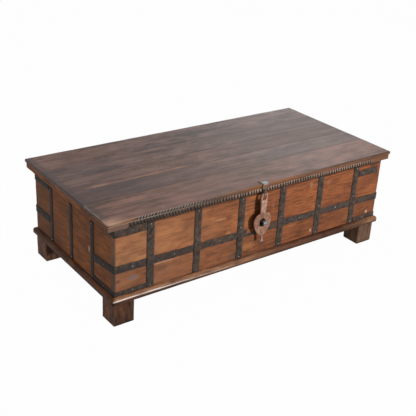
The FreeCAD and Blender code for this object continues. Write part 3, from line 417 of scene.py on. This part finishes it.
def forged_iron(name, face, dark, rust, glint, seed, roughness=0.5, metallic=0.3, stains=()):
    """Old forged iron: a dark oxide skin, brown rust in patches, and hammered high spots rubbed bare and painted pale
    as glints.

    The skin hides most of the metal, so it looks dull and hardly metallic."""
    material = bpy.data.materials.new(name)
    material.use_nodes = True
    tree = material.node_tree
    shader = tree.nodes["Principled BSDF"]
    where = add(tree, "ShaderNodeTexCoord").outputs["Object"]
    # Sizes in millimetres. Real pits are under 1 mm; they are drawn 4 mm wide so that they show.
    figure = {"dents": 14, "pits": 4, "patches": 34, "spots": 9}
    shift = (seed * 0.417, seed * 0.913, seed * 0.671)
    for part, size in figure.items():
        scale = [1 / (size * MM)] * 3
        mapped = add(tree, "ShaderNodeMapping", {"Vector": where, "Location": shift, "Scale": scale}).outputs[0]
        figure[part] = add(tree, "ShaderNodeTexNoise", {"Vector": mapped, "Scale": 1, "Detail": 4,
                                                        "Roughness": 0.64}).outputs[0]
    colour = linear(dark)
    # The spots take the glint colour: painted highlights on rubbed high spots
    for part, first, last, amount, tint in (("dents", 0.38, 0.62, 1.0, face), ("patches", 0.48, 0.64, 0.7, rust),
                                            ("spots", 0.6, 0.74, 0.6, glint)):
        share = add(tree, "ShaderNodeMapRange", {0: figure[part], 1: first, 2: last, 3: 0.0, 4: amount}).outputs[0]
        colour = add(tree, "ShaderNodeMix", {0: share, 6: colour, 7: linear(tint)}, data_type="RGBA").outputs[2]
    colour = stained(tree, where, colour, figure["patches"], stains)
    level = add(tree, "ShaderNodeMapRange", {0: figure["pits"], 1: 0.35, 2: 0.65, 3: 0.78, 4: 1.2}).outputs[0]
    colour = add(tree, "ShaderNodeMix", {0: 1.0, 6: colour, 7: level}, data_type="RGBA",
                 blend_type="MULTIPLY").outputs[2]
    tree.links.new(colour, shader.inputs["Base Color"])
    dull = add(tree, "ShaderNodeMapRange", {0: figure["pits"], 1: 0.3, 2: 0.7, 3: roughness + 0.12, 4: roughness - 0.1})
    tree.links.new(dull.outputs[0], shader.inputs["Roughness"])
    height = add(tree, "ShaderNodeMath", {0: figure["dents"], 1: 2.0, 2: figure["pits"]}, operation="MULTIPLY_ADD")
    raised = add(tree, "ShaderNodeBump", {"Strength": 0.55, "Distance": 0.8 * MM, "Height": height.outputs[0]})
    tree.links.new(raised.outputs[0], shader.inputs["Normal"])
    shader.inputs["Metallic"].default_value = metallic
    shader.inputs["Specular IOR Level"].default_value = 0.12
    return material


# Iron black from the forge, gone brown with rust: dull, with no glint of metal. The straps on the end faces get a
# darker copy of it as painted shade, and one stretch of the middle strap left of the hasp is rusted brown but for a
# thin line.
dark_left = ("#2E2926", 0.5, [("X", -180, -320), ("Z", 225, 205)])
rusted_through = ("#9A5A36", 1.0, [("X", -63, -60), ("X", -21, -29), ("Z", 193, 195)])
strap_iron = forged_iron("forged_iron_straps", "#534841", "#2E2723", "#5B4335", "#716963", 1, roughness=0.65,
                         metallic=0.0, stains=[dark_left, rusted_through])
shaded_end_iron = forged_iron("forged_iron_end_straps_shaded", "#2D2724", "#171413", "#33251E", "#45413F", 5, roughness=0.65,
                       metallic=0.0)


def forged_strap(name, path, across, width, seed, step=7 * MM):
    """Flat iron along a path of (point on the wall, way out of the wall), with wandering edges."""
    samples = []
    for (start, out_a), (end, out_b) in zip(path, path[1:]):
        count = max(1, round((end - start).length / step))
        samples += [(start.lerp(end, k / count), out_a.lerp(out_b, k / count)) for k in range(count)]
    samples.append(path[-1])
    thick = strap_thickness
    # The broken arris, how far the strap sways, its edges fray and its face is dinted, and the room left for that
    edge, sway, fray, dint, margin = 0.5 * MM, 1.0 * MM, 1.1 * MM, 0.35 * MM, 0.6 * MM
    sway_run, fray_run, dint_run = 90 * MM, 20 * MM, 15 * MM
    points = []
    for point, out in samples:
        wander = sway * noise.noise(point / sway_run + Vector((seed, 0, seed * 2.3)))
        sides = []
        for side in (-1, 1):
            ragged = fray * noise.noise(point / fray_run + Vector((seed * 1.3, side * 7, seed)))
            sides.append(side * (width / 2 - margin) + wander + ragged)
        left, right = sides
        rows = [(left, 0), (left, thick - edge), (left + edge, thick)]
        rows += [(left + (right - left) * f, thick) for f in (0.3, 0.5, 0.7)]
        rows += [(right - edge, thick), (right, thick - edge), (right, 0)]
        for along_width, height in rows:
            place = point + across * along_width
            if height == thick:
                height -= dint * (0.5 + 0.5 * noise.noise(place / dint_run + Vector((0, seed, 3))))
            points.append(place + out * height)
    piece = new_piece(name, points, skinned(0, len(points), len(rows)), strap_iron)
    # Faces on the end walls take the darker iron, which is painted shade
    piece.data.materials.append(shaded_end_iron)
    for face in piece.data.polygons:
        if abs(face.center.x) > right_x and abs(face.normal.x) > 0.5:
            face.material_index = 1
    turn_outwards(piece)
    return piece


def ride_strap(piece, node):
    """Nails a strap to the chest in place of its node."""
    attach(piece, "chest")
    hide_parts(node)


# The middle strap falls a little along the front, and further on its short returns round both ends
FRONT, BACK = Vector((0, -1, 0)), Vector((0, 1, 0))
LEFT, RIGHT = Vector((-1, 0, 0)), Vector((1, 0, 0))
UP = Vector((0, 0, 1))
middle_width = 27 * MM
return_fall = 12 * MM
height_left = strap_high.z - middle_width / 2
height_right = strap_low.z + return_fall + middle_width / 2
bend = 3 * MM
middle_path = [(Vector((left_x, strap_high.y, height_left - return_fall)), LEFT),
               (Vector((left_x, front_y + bend, height_left)), LEFT),
               (Vector((left_x, front_y, height_left)), LEFT + FRONT),
               (Vector((left_x + bend, front_y, height_left)), FRONT),
               (Vector((right_x - bend, front_y, height_right)), FRONT),
               (Vector((right_x, front_y, height_right)), RIGHT + FRONT),
               (Vector((right_x, front_y + bend, height_right)), RIGHT),
               (Vector((right_x, strap_high.y, height_right - return_fall)), RIGHT)]
ride_strap(forged_strap("front_middle_strap_forged", middle_path, UP, middle_width, 2), "front_middle_strap")

# The upright front straps step outwards over the middle strap
crank_run, crank_play = 6 * MM, 0.5 * MM
half_cross = middle_width / 2 + crank_play
for number in range(1, 7):
    node = f"front_strap_{number}"
    low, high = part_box(node)
    x = (low.x + high.x) / 2
    cross = height_left + (height_right - height_left) * (x - left_x) / (right_x - left_x)
    stops = [(low.z, 0), (cross - half_cross - crank_run, 0), (cross - half_cross, 1),
             (cross + half_cross, 1), (cross + half_cross + crank_run, 0), (high.z, 0)]
    path = [(Vector((x, front_y - lift * strap_thickness, z)), FRONT) for z, lift in stops]
    ride_strap(forged_strap(f"{node}_forged", path, RIGHT, high.x - low.x, 10 + number), node)

# The level straps round the corners
for node in sorted(nodes):
    if not node.startswith(("corner_strap", "back_middle_strap")):
        continue
    low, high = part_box(node)
    z = (low.z + high.z) / 2
    side_x, side_out = (left_x, LEFT) if node.endswith("left") else (right_x, RIGHT)
    wall_y, wall_out = (front_y, FRONT) if "_front_" in node else (back_y, BACK)
    wall_end = high.x if node.endswith("left") else low.x
    path = [(Vector((wall_end, wall_y, z)), wall_out)]
    if node == "corner_strap_top_front_right":
        path.append((Vector((high.x, wall_y, z)), wall_out))
    else:
        reach_y = high.y if wall_out is FRONT else low.y
        path += [(Vector((side_x - side_out.x * bend, wall_y, z)), wall_out),
                 (Vector((side_x, wall_y, z)), wall_out + side_out),
                 (Vector((side_x, wall_y - wall_out.y * bend, z)), side_out),
                 (Vector((side_x, reach_y, z)), side_out)]
    ride_strap(forged_strap(f"{node}_forged", path, UP, high.z - low.z, 30 + len(node)), node)

# The upright straps on the ends
for side, x, out in (("left", left_x, LEFT), ("right", right_x, RIGHT)):
    for number in (1, 2, 3):
        node = f"end_strap_{side}_{number}"
        low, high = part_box(node)
        y = (low.y + high.y) / 2
        path = [(Vector((x, y, low.z)), out), (Vector((x, y, high.z)), out)]
        ride_strap(forged_strap(f"{node}_forged", path, BACK, high.y - low.y, 50 + number), node)

# Strap nails
# Hand-forged iron nails with domed heads, driven through the straps into the walls.
# All heads are one piece here, as they are one node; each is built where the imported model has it.
head_reach = 12 * MM
# Iron rubbed by passing hands: grey heads with a soft glint, brighter than the straps, duller to the left
dull_left = ("#574E48", 0.7, [("X", -60, -180)])
nail_iron = forged_iron("rubbed_iron_nails", "#9A9793", "#5E5854", "#735E51", "#C4C6C8", 3, roughness=0.4,
                        stains=[dull_left])
heads = []
for vertex in nodes["strap_nails"].data.vertices:
    spot = nodes["strap_nails"].matrix_world @ vertex.co
    near = [head for head in heads if (head[0] - spot).length < head_reach]
    if near:
        near[0].append(spot)
    else:
        heads.append([spot])
points, faces = [], []
# Each ring of a head as a share of its radius and of its height
head_rings = [(1.0, 0.0), (0.92, 0.5), (0.62, 0.85)]
sides = 10
for number, head in enumerate(heads):
    low = Vector([min(spot[a] for spot in head) for a in range(3)])
    high = Vector([max(spot[a] for spot in head) for a in range(3)])
    out_axis = 0 if high.x - low.x < high.y - low.y else 1
    out = Vector()
    out[out_axis] = math.copysign(1, (low + high)[out_axis])
    across = out.cross(UP)
    height, radius = (high - low)[out_axis], (high.z - low.z) / 2
    base = (low + high) / 2 - out * height / 2
    start = len(points)
    for spread, rise in head_rings:
        for k in range(sides):
            angle = 2 * math.pi * k / sides
            size = radius * spread * (0.92 + 0.08 * noise.noise((number * 3.3, math.cos(angle), math.sin(angle))))
            points.append(base + (across * math.cos(angle) + UP * math.sin(angle)) * size + out * height * rise)
    # Its top ring is drawn up to a point
    under, top, *walls = skinned(start, len(points), sides)
    faces += [under, *walls] + [[top[k - 1], top[k], len(points)] for k in range(sides)]
    points.append(base + out * height)
nail_heads = new_piece("strap_nails_forged", points, faces, nail_iron)
turn_outwards(nail_heads)
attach(nail_heads, "chest")
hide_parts("strap_nails")

# Rear hinges
# Two strap hinges of thick flat iron on the back board, each with three knuckles on a headed pin.
# The upper leaves are let into the underside of the lid's back rail.
hinge_nodes = [f"hinge_{leaf}_leaf_{side}" for leaf in ("lower", "upper") for side in ("left", "right")]


def dress(node, material):
    """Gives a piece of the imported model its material."""
    nodes[node].data.materials.clear()
    nodes[node].data.materials.append(material)


# Iron kept from weather and hands: an even dark grey, with a dull shine
hinge_iron = forged_iron("forged_iron_hinges", "#4A4542", "#2A2827", "#4C382C", "#6F7072", 4)
for node in hinge_nodes + ["hinge_pins"]:
    dress(node, hinge_iron)

# Lid planks
# Five long teak planks on the rails, worn round along the rim of the lid.
# The wax has gone thin and dark on top, and each plank has kept its own tone; the front edge is still orange brown.
plank_round, foot_edge, seam_round = 4 * MM, 3 * MM, 0.25 * MM
# Teak worn by use as a table: dark greyish brown with long soft streaks and more sheen than the walls.
# Stains give dirt at the rim, cooler and warmer stretches, the pale seam, the rubbed front corner, and painted shade on
# the front edge between the carved ridges.
plank_tones = [("#805C50", "#684B3F", "#422F27"), ("#775C51", "#5F463D", "#3C2B26"), ("#75584D", "#5C4238", "#392924"),
               ("#755B50", "#5B443B", "#392B28"), ("#725953", "#58433D", "#372A28")]
lid_low, lid_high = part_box("lid_plank_1")
corner_height, corner_reach, corner_loss = 8 * MM, 40 * MM, 5 * MM
worn_corner = [(Vector((lid_low.x, lid_low.y, lid_low.z + corner_height)), corner_reach, corner_loss)]
lid_left, lid_front = lid_low.x / MM, lid_low.y / MM
lid_right, lid_top = lid_high.x / MM, lid_high.z / MM
left_grime = ("#37302F", 0.75, [("X", lid_left + 30, lid_left + 16)])
dark_end = ("#29252A", 0.66, [("X", -20, -330)])
dark_rim = ("#3A2E2A", 0.8, [("X", lid_right - 7, lid_right - 4)])
cool_end = ("#463E42", 0.4, [("X", -150, -520)])
pink_right = ("#92746B", 0.5, [("X", 40, 300)])
grey_right = ("#645B5B", 0.45, [("X", 40, 240)])
brown_middle = ("#4A352C", 0.3, [("X", 60, -60), ("X", -320, -200)])
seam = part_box("lid_plank_3")[0].y / MM
pale_seam = ("#946C56", 0.9, [("Y", seam + 15, seam + 6), ("X", -100, -190), ("X", -550, -500)])
dull_right = ("#3C3230", 0.5, [("X", 40, 160)])
dull_back = ("#3A3232", 0.5, [("X", 20, 160)])
warm_end = ("#6E4A3A", 0.3, [("X", -200, -340)])
lid_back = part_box("lid_plank_5")[1].y / MM
dark_back = ("#3A2C26", 0.8, [("Y", lid_back - 7, lid_back - 3)])
# Near black on the lid's front edge between the carved ridges: painted shade for the gouges
painted_shade_nose = ("#231E1B", 1.4, [("Y", lid_front + 3, lid_front + 1), ("X", -120, -260), ("X", -520, -490)])
dark_arris = ("#2A1E18", 0.9, [("Y", lid_front + 9, lid_front + 5), ("Z", lid_top - 6, lid_top - 3), ("X", 60, 320)])
front_edge = ("#8E5A36", 0.9, [("Y", lid_front + 5, lid_front + 2)])
brown_nose = ("#54341F", 0.6, [("Y", lid_front + 5, lid_front + 2), ("X", 380, 470)])
pale_corner = ("#B48C74", 0.95, [("X", lid_left + 80, lid_left + 15), ("Y", lid_front + 40, lid_front + 8)])
for number, (pale, middle, dark) in enumerate(plank_tones, start=1):
    node = f"lid_plank_{number}"
    low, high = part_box(node)
    front_rim, back_rim = number == 1, number == len(plank_tones)
    front_round = plank_round if front_rim else seam_round
    back_round = plank_round if back_rim else seam_round
    stains = {1: [pink_right, brown_middle, left_grime, front_edge, pale_corner, painted_shade_nose, dark_arris,
                  brown_nose, dark_rim],
              2: [dark_end, grey_right, left_grime, dark_rim],
              3: [cool_end, dull_right, pale_seam, left_grime, dark_rim],
              4: [cool_end, dull_back, left_grime, dark_rim],
              5: [warm_end, left_grime, dark_back, dark_rim]}[number]
    teak = old_teak(f"worn_teak_{node}", pale, middle, dark, "X", 60 + number, streak=(24, 260), spread=0.085,
                    fleck=0.12, worn="#B9A497", rub=0.8 if front_rim else 0.0,
                    fade=(-400, -60) if front_rim else None, stains=stains, crevice_dirt_and_shade=0.1, roughness=0.5, gloss=0.15)
    rounds = [(plank_round, plank_round), (front_round, back_round), (foot_edge, plank_round)]
    plank = worn_board(f"{node}_worn", low, high, rounds, teak, 60 + number, step=18 * MM,
                       knocks=worn_corner if front_rim else ())
    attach(plank, "lid")
    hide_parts(node)

# Nose carving
# A row of slanting gouges cut along the front edge of the lid, like the lay of a rope, worn away to the right.
# What stands between the gouges is modelled as ridges on the worn edge, rubbed paler than the ground between them,
# which is painted near black as shade.
ridge_first, ridge_last, ridge_pitch = -498 * MM, -90 * MM, 11 * MM
ridge_lean, ridge_half, ridge_proud, ridge_root = 6 * MM, 2.2 * MM, 1 * MM, 1.6 * MM
nose_foot, nose_head = lid_low.z + 1.2 * MM, lid_high.z - 1.6 * MM
# Teak rubbed by hands: pale greyish ridges with no shine, darker where they are worn out
worn_out = ("#3E3631", 0.8, [("X", -330, -180)])
carving_teak = old_teak("rubbed_teak_nose_carving", "#C6B6A8", "#A49488", "#72665E", "X", 70, crevice_dirt_and_shade=0.2,
                        stains=[worn_out])
ridge_stations, ridge_corners, ridge_stray = 6, 4, 0.2
points, faces = [], []
for number in range(int((ridge_last - ridge_first) / ridge_pitch)):
    foot_x = ridge_first + ridge_pitch * (number + ridge_stray * noise.noise((number * 2.7, 1.1, 0.4)))
    start = len(points)
    for k in range(ridge_stations):
        rise = k / (ridge_stations - 1)
        z = nose_foot + (nose_head - nose_foot) * rise
        # The ridge follows the rounded edge, and runs out at both ends
        to_top, to_foot = max(0, z - lid_high.z + plank_round), max(0, lid_low.z + foot_edge - z)
        face_y = lid_low.y + plank_round - math.sqrt(plank_round ** 2 - max(to_top, to_foot) ** 2)
        proud = ridge_proud * math.sin(math.pi * (0.15 + 0.7 * rise))
        x = foot_x + ridge_lean * rise
        points += [(x - ridge_half, face_y + ridge_root, z), (x - ridge_half * 0.5, face_y - proud, z),
                   (x + ridge_half * 0.5, face_y - proud, z), (x + ridge_half, face_y + ridge_root, z)]
    faces += skinned(start, len(points), ridge_corners)
carving = new_piece("lid_nose_carving", points, faces, carving_teak, smooth=False)
turn_outwards(carving)
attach(carving, "lid")

# Lid rails and battens
# A frame of teak under the planks that closes on the walls, and two battens across the inside.
# The back rail is cut out for the hinge leaves.
rail_round = 2.5 * MM
# Waxed teak in the shade of the lid: plain dark brown grain with a low sheen, edges a little paler
rail_teak = {"X": old_teak("old_teak_rails", "#8A5637", "#633E29", "#342116", "X", 21, rub=0.4),
             "Y": old_teak("old_teak_end_rails", "#9A6238", "#744627", "#41291A", "Y", 22, rub=0.4)}
dress("lid_rail_back", rail_teak["X"])
for number, (node, grain) in enumerate((("lid_rail_front", "X"), ("lid_rail_left", "Y"), ("lid_rail_right", "Y"),
                                        ("lid_batten_left", "Y"), ("lid_batten_right", "Y"))):
    low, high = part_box(node)
    piece = worn_board(f"{node}_worn", low, high, [(rail_round, rail_round)] * 3, rail_teak[grain], 80 + number)
    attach(piece, "lid")
    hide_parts(node)

# Carved strip
# A thin teak strip on the front rail, plain along its top, with a row of gouged cuts painted black as shade.
# The teeth between the cuts are rubbed pale, most of all to the right.
strip_low, strip_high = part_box("carved_strip")
strip_face, strip_top, strip_foot = strip_low.y / MM, strip_high.z / MM, strip_low.z / MM
# Rubbed teak: pale dull brown teeth, cuts painted black as shade, a painted shadow along the foot, dim and grey to the
# left, orange along the top
# The second and third stains are painted shade low on the strip and a painted shadow line along its foot; the last
# darkens the bottoms of the cuts as painted shade
strip_stains_and_shade = [("#4E453F", 1.1, [("X", -60, -330)]),
                ("#322A25", 1.0, [("X", -60, -330), ("Z", strip_foot + 8, strip_foot + 5)]),
                ("#2A1D16", 1.2, [("Z", strip_foot + 2, strip_foot + 1)]),
                ("#7E5438", 1.3, [("X", 500, 510)]),
                ("#8E5A36", 1.1, [("X", -260, -60), ("Z", strip_top - 2.6, strip_top - 1.4)]),
                ("#765A4C", 1.5, [("X", -524, -532)]),
                ("#A8927F", 1.0, [("X", -200, -330), ("Z", strip_top - 2.6, strip_top - 1.6)]),
                ("#382D27", 1.3, [("Y", strip_face + 0.7, strip_face + 1.9)])]
strip_teak = old_teak("carved_teak_strip", "#BFA391", "#9E8372", "#645148", "X", 25, crevice_dirt_and_shade=0.3,
                      stains=strip_stains_and_shade)
first_cut, last_cut, pitch, cut_depth, face_inset = -526 * MM, 506 * MM, 11.45 * MM, 2.2 * MM, 0.15 * MM
# A notch in shares of the pitch: half its width at the foot, what it loses by the top, how unlike the next it is,
# its slope, lean and stray; and the share of the height where it ends
half_foot, narrowing, notch_unlike = 0.45, 0.4, 0.06
notch_slope, notch_lean, notch_stray, notch_top = 0.12, 0.2, 0.35, 0.92
column_step, row_count = 1.2 * MM, 10
columns = round((strip_high.x - strip_low.x) / column_step)
points, faces = [], []
for k in range(columns + 1):
    x = strip_low.x + (strip_high.x - strip_low.x) * k / columns
    for row in range(row_count + 1):
        rise = row / row_count
        # Each cut is a notch, wide at the foot and narrow at the top, no two quite alike
        stray = notch_stray * noise.noise((x / (25 * MM), 0.7, 3.1))
        turn = (x - first_cut) / pitch + stray + notch_lean * (rise - 0.5)
        off_middle = abs(turn - math.floor(turn) - 0.5)
        unlike = notch_unlike * noise.noise((math.floor(turn) * 1.7, 5.3, rise))
        half_notch = half_foot - narrowing * rise + unlike
        share = 0
        if first_cut < x < last_cut and rise < notch_top:
            share = min(1, max(0, (half_notch - off_middle) / notch_slope))
        y = strip_low.y + face_inset + cut_depth * share
        points.append((x, y, strip_low.z + (strip_high.z - strip_low.z) * rise))
ring = row_count + 1
for k in range(columns):
    for row in range(row_count):
        at = k * ring + row
        faces.append([at, at + ring, at + ring + 1, at + 1])
back = len(points)
for k in (0, columns):
    for z in (strip_low.z, strip_high.z):
        points.append((strip_low.x + (strip_high.x - strip_low.x) * k / columns, strip_high.y, z))
faces += [[k * ring for k in range(columns + 1)][::-1] + [back, back + 2],
          [k * ring + row_count for k in range(columns + 1)] + [back + 3, back + 1],
          list(range(ring)) + [back + 1, back],
          list(range(columns * ring, (columns + 1) * ring))[::-1] + [back + 2, back + 3],
          [back, back + 1, back + 3, back + 2]]
strip = new_piece("carved_strip_cut", points, faces, strip_teak, smooth=False)
turn_outwards(strip)
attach(strip, "lid")
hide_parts("carved_strip")

# Hasp, its hanger and the staple
# A hanger of flat iron bent over the lid's edge carries the hasp by a loop of round bar.
# The hasp is a forged leaf with a hole that goes over a U-shaped staple in the front board.
hasp_low, hasp_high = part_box("hasp")
# Iron under thin even rust, rubbed by hands: pinkish brown and satin, its neck paler, its tail tip bare
tail_tip = ("#98A2A6", 0.9, [("Z", hasp_low.z / MM + 13, hasp_low.z / MM + 8)])
pale_neck = ("#D8B49C", 0.42, [("Z", 262, 284)])
hasp_iron = forged_iron("rusted_iron_hasp", "#AA8169", "#845C4C", "#7E5444", "#DCC0AC", 7, roughness=0.55,
                        metallic=0.1, stains=[pale_neck, tail_tip])
# The hanger is rusty too, brown down the lid's edge, and bare grey iron where it lies on the lid
hanger_top = ("#929DA2", 1.3, [("Z", lid_top - 4, lid_top - 2), ("Y", lid_front + 15, lid_front + 10),
                               ("X", -17, -12), ("X", 6, 2)])
hanger_nose = ("#8A5A3A", 0.9, [("Z", strip_top, strip_top + 2), ("Y", lid_front, lid_front - 1)])
hanger_eye = ("#B58E78", 1.2, [("Z", strip_foot - 4, strip_foot - 6)])
hanger_iron = forged_iron("rusted_iron_hanger", "#7A6656", "#564538", "#6A5040", "#8E7A6A", 8, roughness=0.5,
                          metallic=0.1, stains=[hanger_nose, hanger_eye, hanger_top])
# The staple is dark, and the right side of its bow is pale grey, polished by use and a painted highlight
staple_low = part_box("padlock_staple")[0]
staple_polish_and_highlight = ("#70797E", 1.2, [("Y", staple_low.y / MM + 9, staple_low.y / MM + 5), ("X", -14, -10)])
staple_iron = forged_iron("rubbed_iron_staple", "#55504D", "#2E2A28", "#4A382E", "#7A7672", 9, roughness=0.45,
                          stains=[staple_polish_and_highlight])
dress("hasp_hanger", hanger_iron)
dress("padlock_staple", staple_iron)

# The hasp's edges are hammered soft, and its tail is bent a little away from the chest
rough = bpy.data.objects.new("hasp_blank", nodes["hasp"].data.copy())
bpy.context.scene.collection.objects.link(rough)
grain_size = rough.modifiers.new("grain", "REMESH")
grain_size.mode = "VOXEL"
grain_size.voxel_size = 1.3 * MM
softened = rough.modifiers.new("softened", "SMOOTH")
softened.factor = 0.5
softened.iterations = 4
hammered = bpy.data.meshes.new_from_object(rough.evaluated_get(bpy.context.evaluated_depsgraph_get()))
bpy.data.objects.remove(rough)
tail_length, tail_throw, tail_curve, leaf_narrowing = 70 * MM, 2 * MM, 1.6, 0.06
dent_depth, dent_run, pit_run = 0.35 * MM, 9 * MM, 4 * MM
head_margin, tip_margin, narrowing_run = 10 * MM, 12 * MM, 20 * MM
points = []
for vertex in hammered.vertices:
    place = vertex.co.copy()
    dent = noise.noise(place / dent_run) + 0.6 * noise.noise(place / pit_run)
    place += vertex.normal * dent * dent_depth
    below = max(0, hasp_low.z + tail_length - place.z) / tail_length
    place.y -= tail_throw * below ** tail_curve
    # The leaf is a little narrower than the blank, but not its head or its tip
    from_head = min(1, max(0, (hasp_high.z - head_margin - place.z) / narrowing_run))
    from_tip = min(1, max(0, (place.z - hasp_low.z - tip_margin) / narrowing_run))
    place.x -= leaf_narrowing * (place.x - hasp_low.x) * from_head * from_tip
    points.append(place)
hasp = new_piece("hasp_forged", points, [list(face.vertices) for face in hammered.polygons], hasp_iron)
bpy.data.meshes.remove(hammered)
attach(hasp, "hasp")
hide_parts("hasp")

# Studio
# A plain floor painted white, under a white surround.
# One low distant lamp from the right, and soft panels from above, from behind the lid and from the left.
floor_glow, world_level = 0.985, 0.13


def background_rays(tree):
    """One for rays that come from the camera or that metal or glass sends on, and nought for the rest."""
    path = add(tree, "ShaderNodeLightPath").outputs
    rays = path["Is Camera Ray"]
    for kind in ("Is Glossy Ray", "Is Transmission Ray"):
        rays = add(tree, "ShaderNodeMath", {0: rays, 1: path[kind]}, operation="MAXIMUM").outputs[0]
    return rays


# Matt white paint: no shine, white to the eye, with a trace of its own shade left so that the shadow shows
floor_paint = bpy.data.materials.new("white_studio_floor")
floor_paint.use_nodes = True
tree = floor_paint.node_tree
paint = tree.nodes["Principled BSDF"]
paint.inputs["Base Color"].default_value = linear("#8C8C8C")
paint.inputs["Roughness"].default_value = 0.9
glow = add(tree, "ShaderNodeEmission", {"Color": (1, 1, 1, 1), "Strength": 1.0})
share = add(tree, "ShaderNodeMath", {0: background_rays(tree), 1: floor_glow}, operation="MULTIPLY").outputs[0]
both = add(tree, "ShaderNodeMixShader", {0: share, 1: paint.outputs[0], 2: glow.outputs[0]})
tree.links.new(both.outputs[0], tree.nodes["Material Output"].inputs["Surface"])
floor_half = 14
points = [(x * floor_half, y * floor_half, 0) for x, y in ((-1, -1), (1, -1), (1, 1), (-1, 1))]
studio_floor = new_piece("studio_floor", points, [[0, 1, 2, 3]], floor_paint, smooth=False)

world = bpy.data.worlds.new("studio")
bpy.context.scene.world = world
world.use_nodes = True
tree = world.node_tree
level = add(tree, "ShaderNodeMapRange", {0: background_rays(tree), 3: world_level, 4: 1.0}).outputs[0]
tree.links.new(level, tree.nodes["Background"].inputs["Strength"])
tree.nodes["Background"].inputs["Color"].default_value = (1, 1, 1, 1)


def aimed(name, light, place, toward):
    """Hangs a lamp at a place, facing a point."""
    holder = bpy.data.objects.new(name, light)
    bpy.context.scene.collection.objects.link(holder)
    facing = (Vector(toward) - Vector(place)).to_track_quat("-Z", "Y").to_matrix().to_4x4()
    holder.matrix_world = Matrix.Translation(place) @ facing


key = bpy.data.lights.new("key_right", "SUN")
key.energy = 2.65
key.angle = math.radians(1.5)
aimed("key_right", key, (2.6, -3.5, 0.4), (0, 0, 0))
for name, place, toward, width, depth, watts in (("overhead", (-0.3, 0.3, 3.0), (0, 0, 0.3), 2.6, 2.2, 54),
                                                 ("behind_right", (2.9, 2.8, 1.5), (0.3, 0.1, 0.36), 1.6, 1.0, 24),
                                                 ("left", (-4.0, -0.7, 1.1), (-0.6, 0, 0.2), 1.6, 1.2, 36)):
    panel = bpy.data.lights.new(name, "AREA")
    panel.shape = "RECTANGLE"
    panel.size, panel.size_y = width, depth
    panel.energy = watts
    aimed(name, panel, place, toward)

# Camera
# A plain lens above the height of the lid, in front of the left corner, leaning a little to one side.
# Its place was worked out from the corners of the lid, the walls, the mouldings and the feet.
azimuth, elevation, roll = math.radians(-37.340), math.radians(25.612), math.radians(3.286)
aim = Vector((0, 0, 0.2))
aim_shift = (0.01879, 0.0361)
distance = 2.8490
picture_width = 416
focal_pixels = 778.59
sensor_width = 36
level_reach = math.cos(elevation)
back = Vector((math.sin(azimuth) * level_reach, -math.cos(azimuth) * level_reach, math.sin(elevation)))
level_right = UP.cross(back).normalized()
level_up = back.cross(level_right)
right = math.cos(roll) * level_right + math.sin(roll) * level_up
up = -math.sin(roll) * level_right + math.cos(roll) * level_up
eye = aim - aim_shift[0] * right - aim_shift[1] * up + distance * back
lens = bpy.data.cameras.new("camera")
lens.sensor_fit = "HORIZONTAL"
lens.sensor_width = sensor_width
lens.lens = sensor_width * focal_pixels / picture_width
camera = bpy.data.objects.new("camera", lens)
bpy.context.scene.collection.objects.link(camera)
turn = Matrix((right, up, back)).transposed().to_4x4()
camera.matrix_world = Matrix.Translation(eye) @ turn
bpy.context.scene.camera = camera
bpy.context.scene.view_settings.view_transform = "Standard"
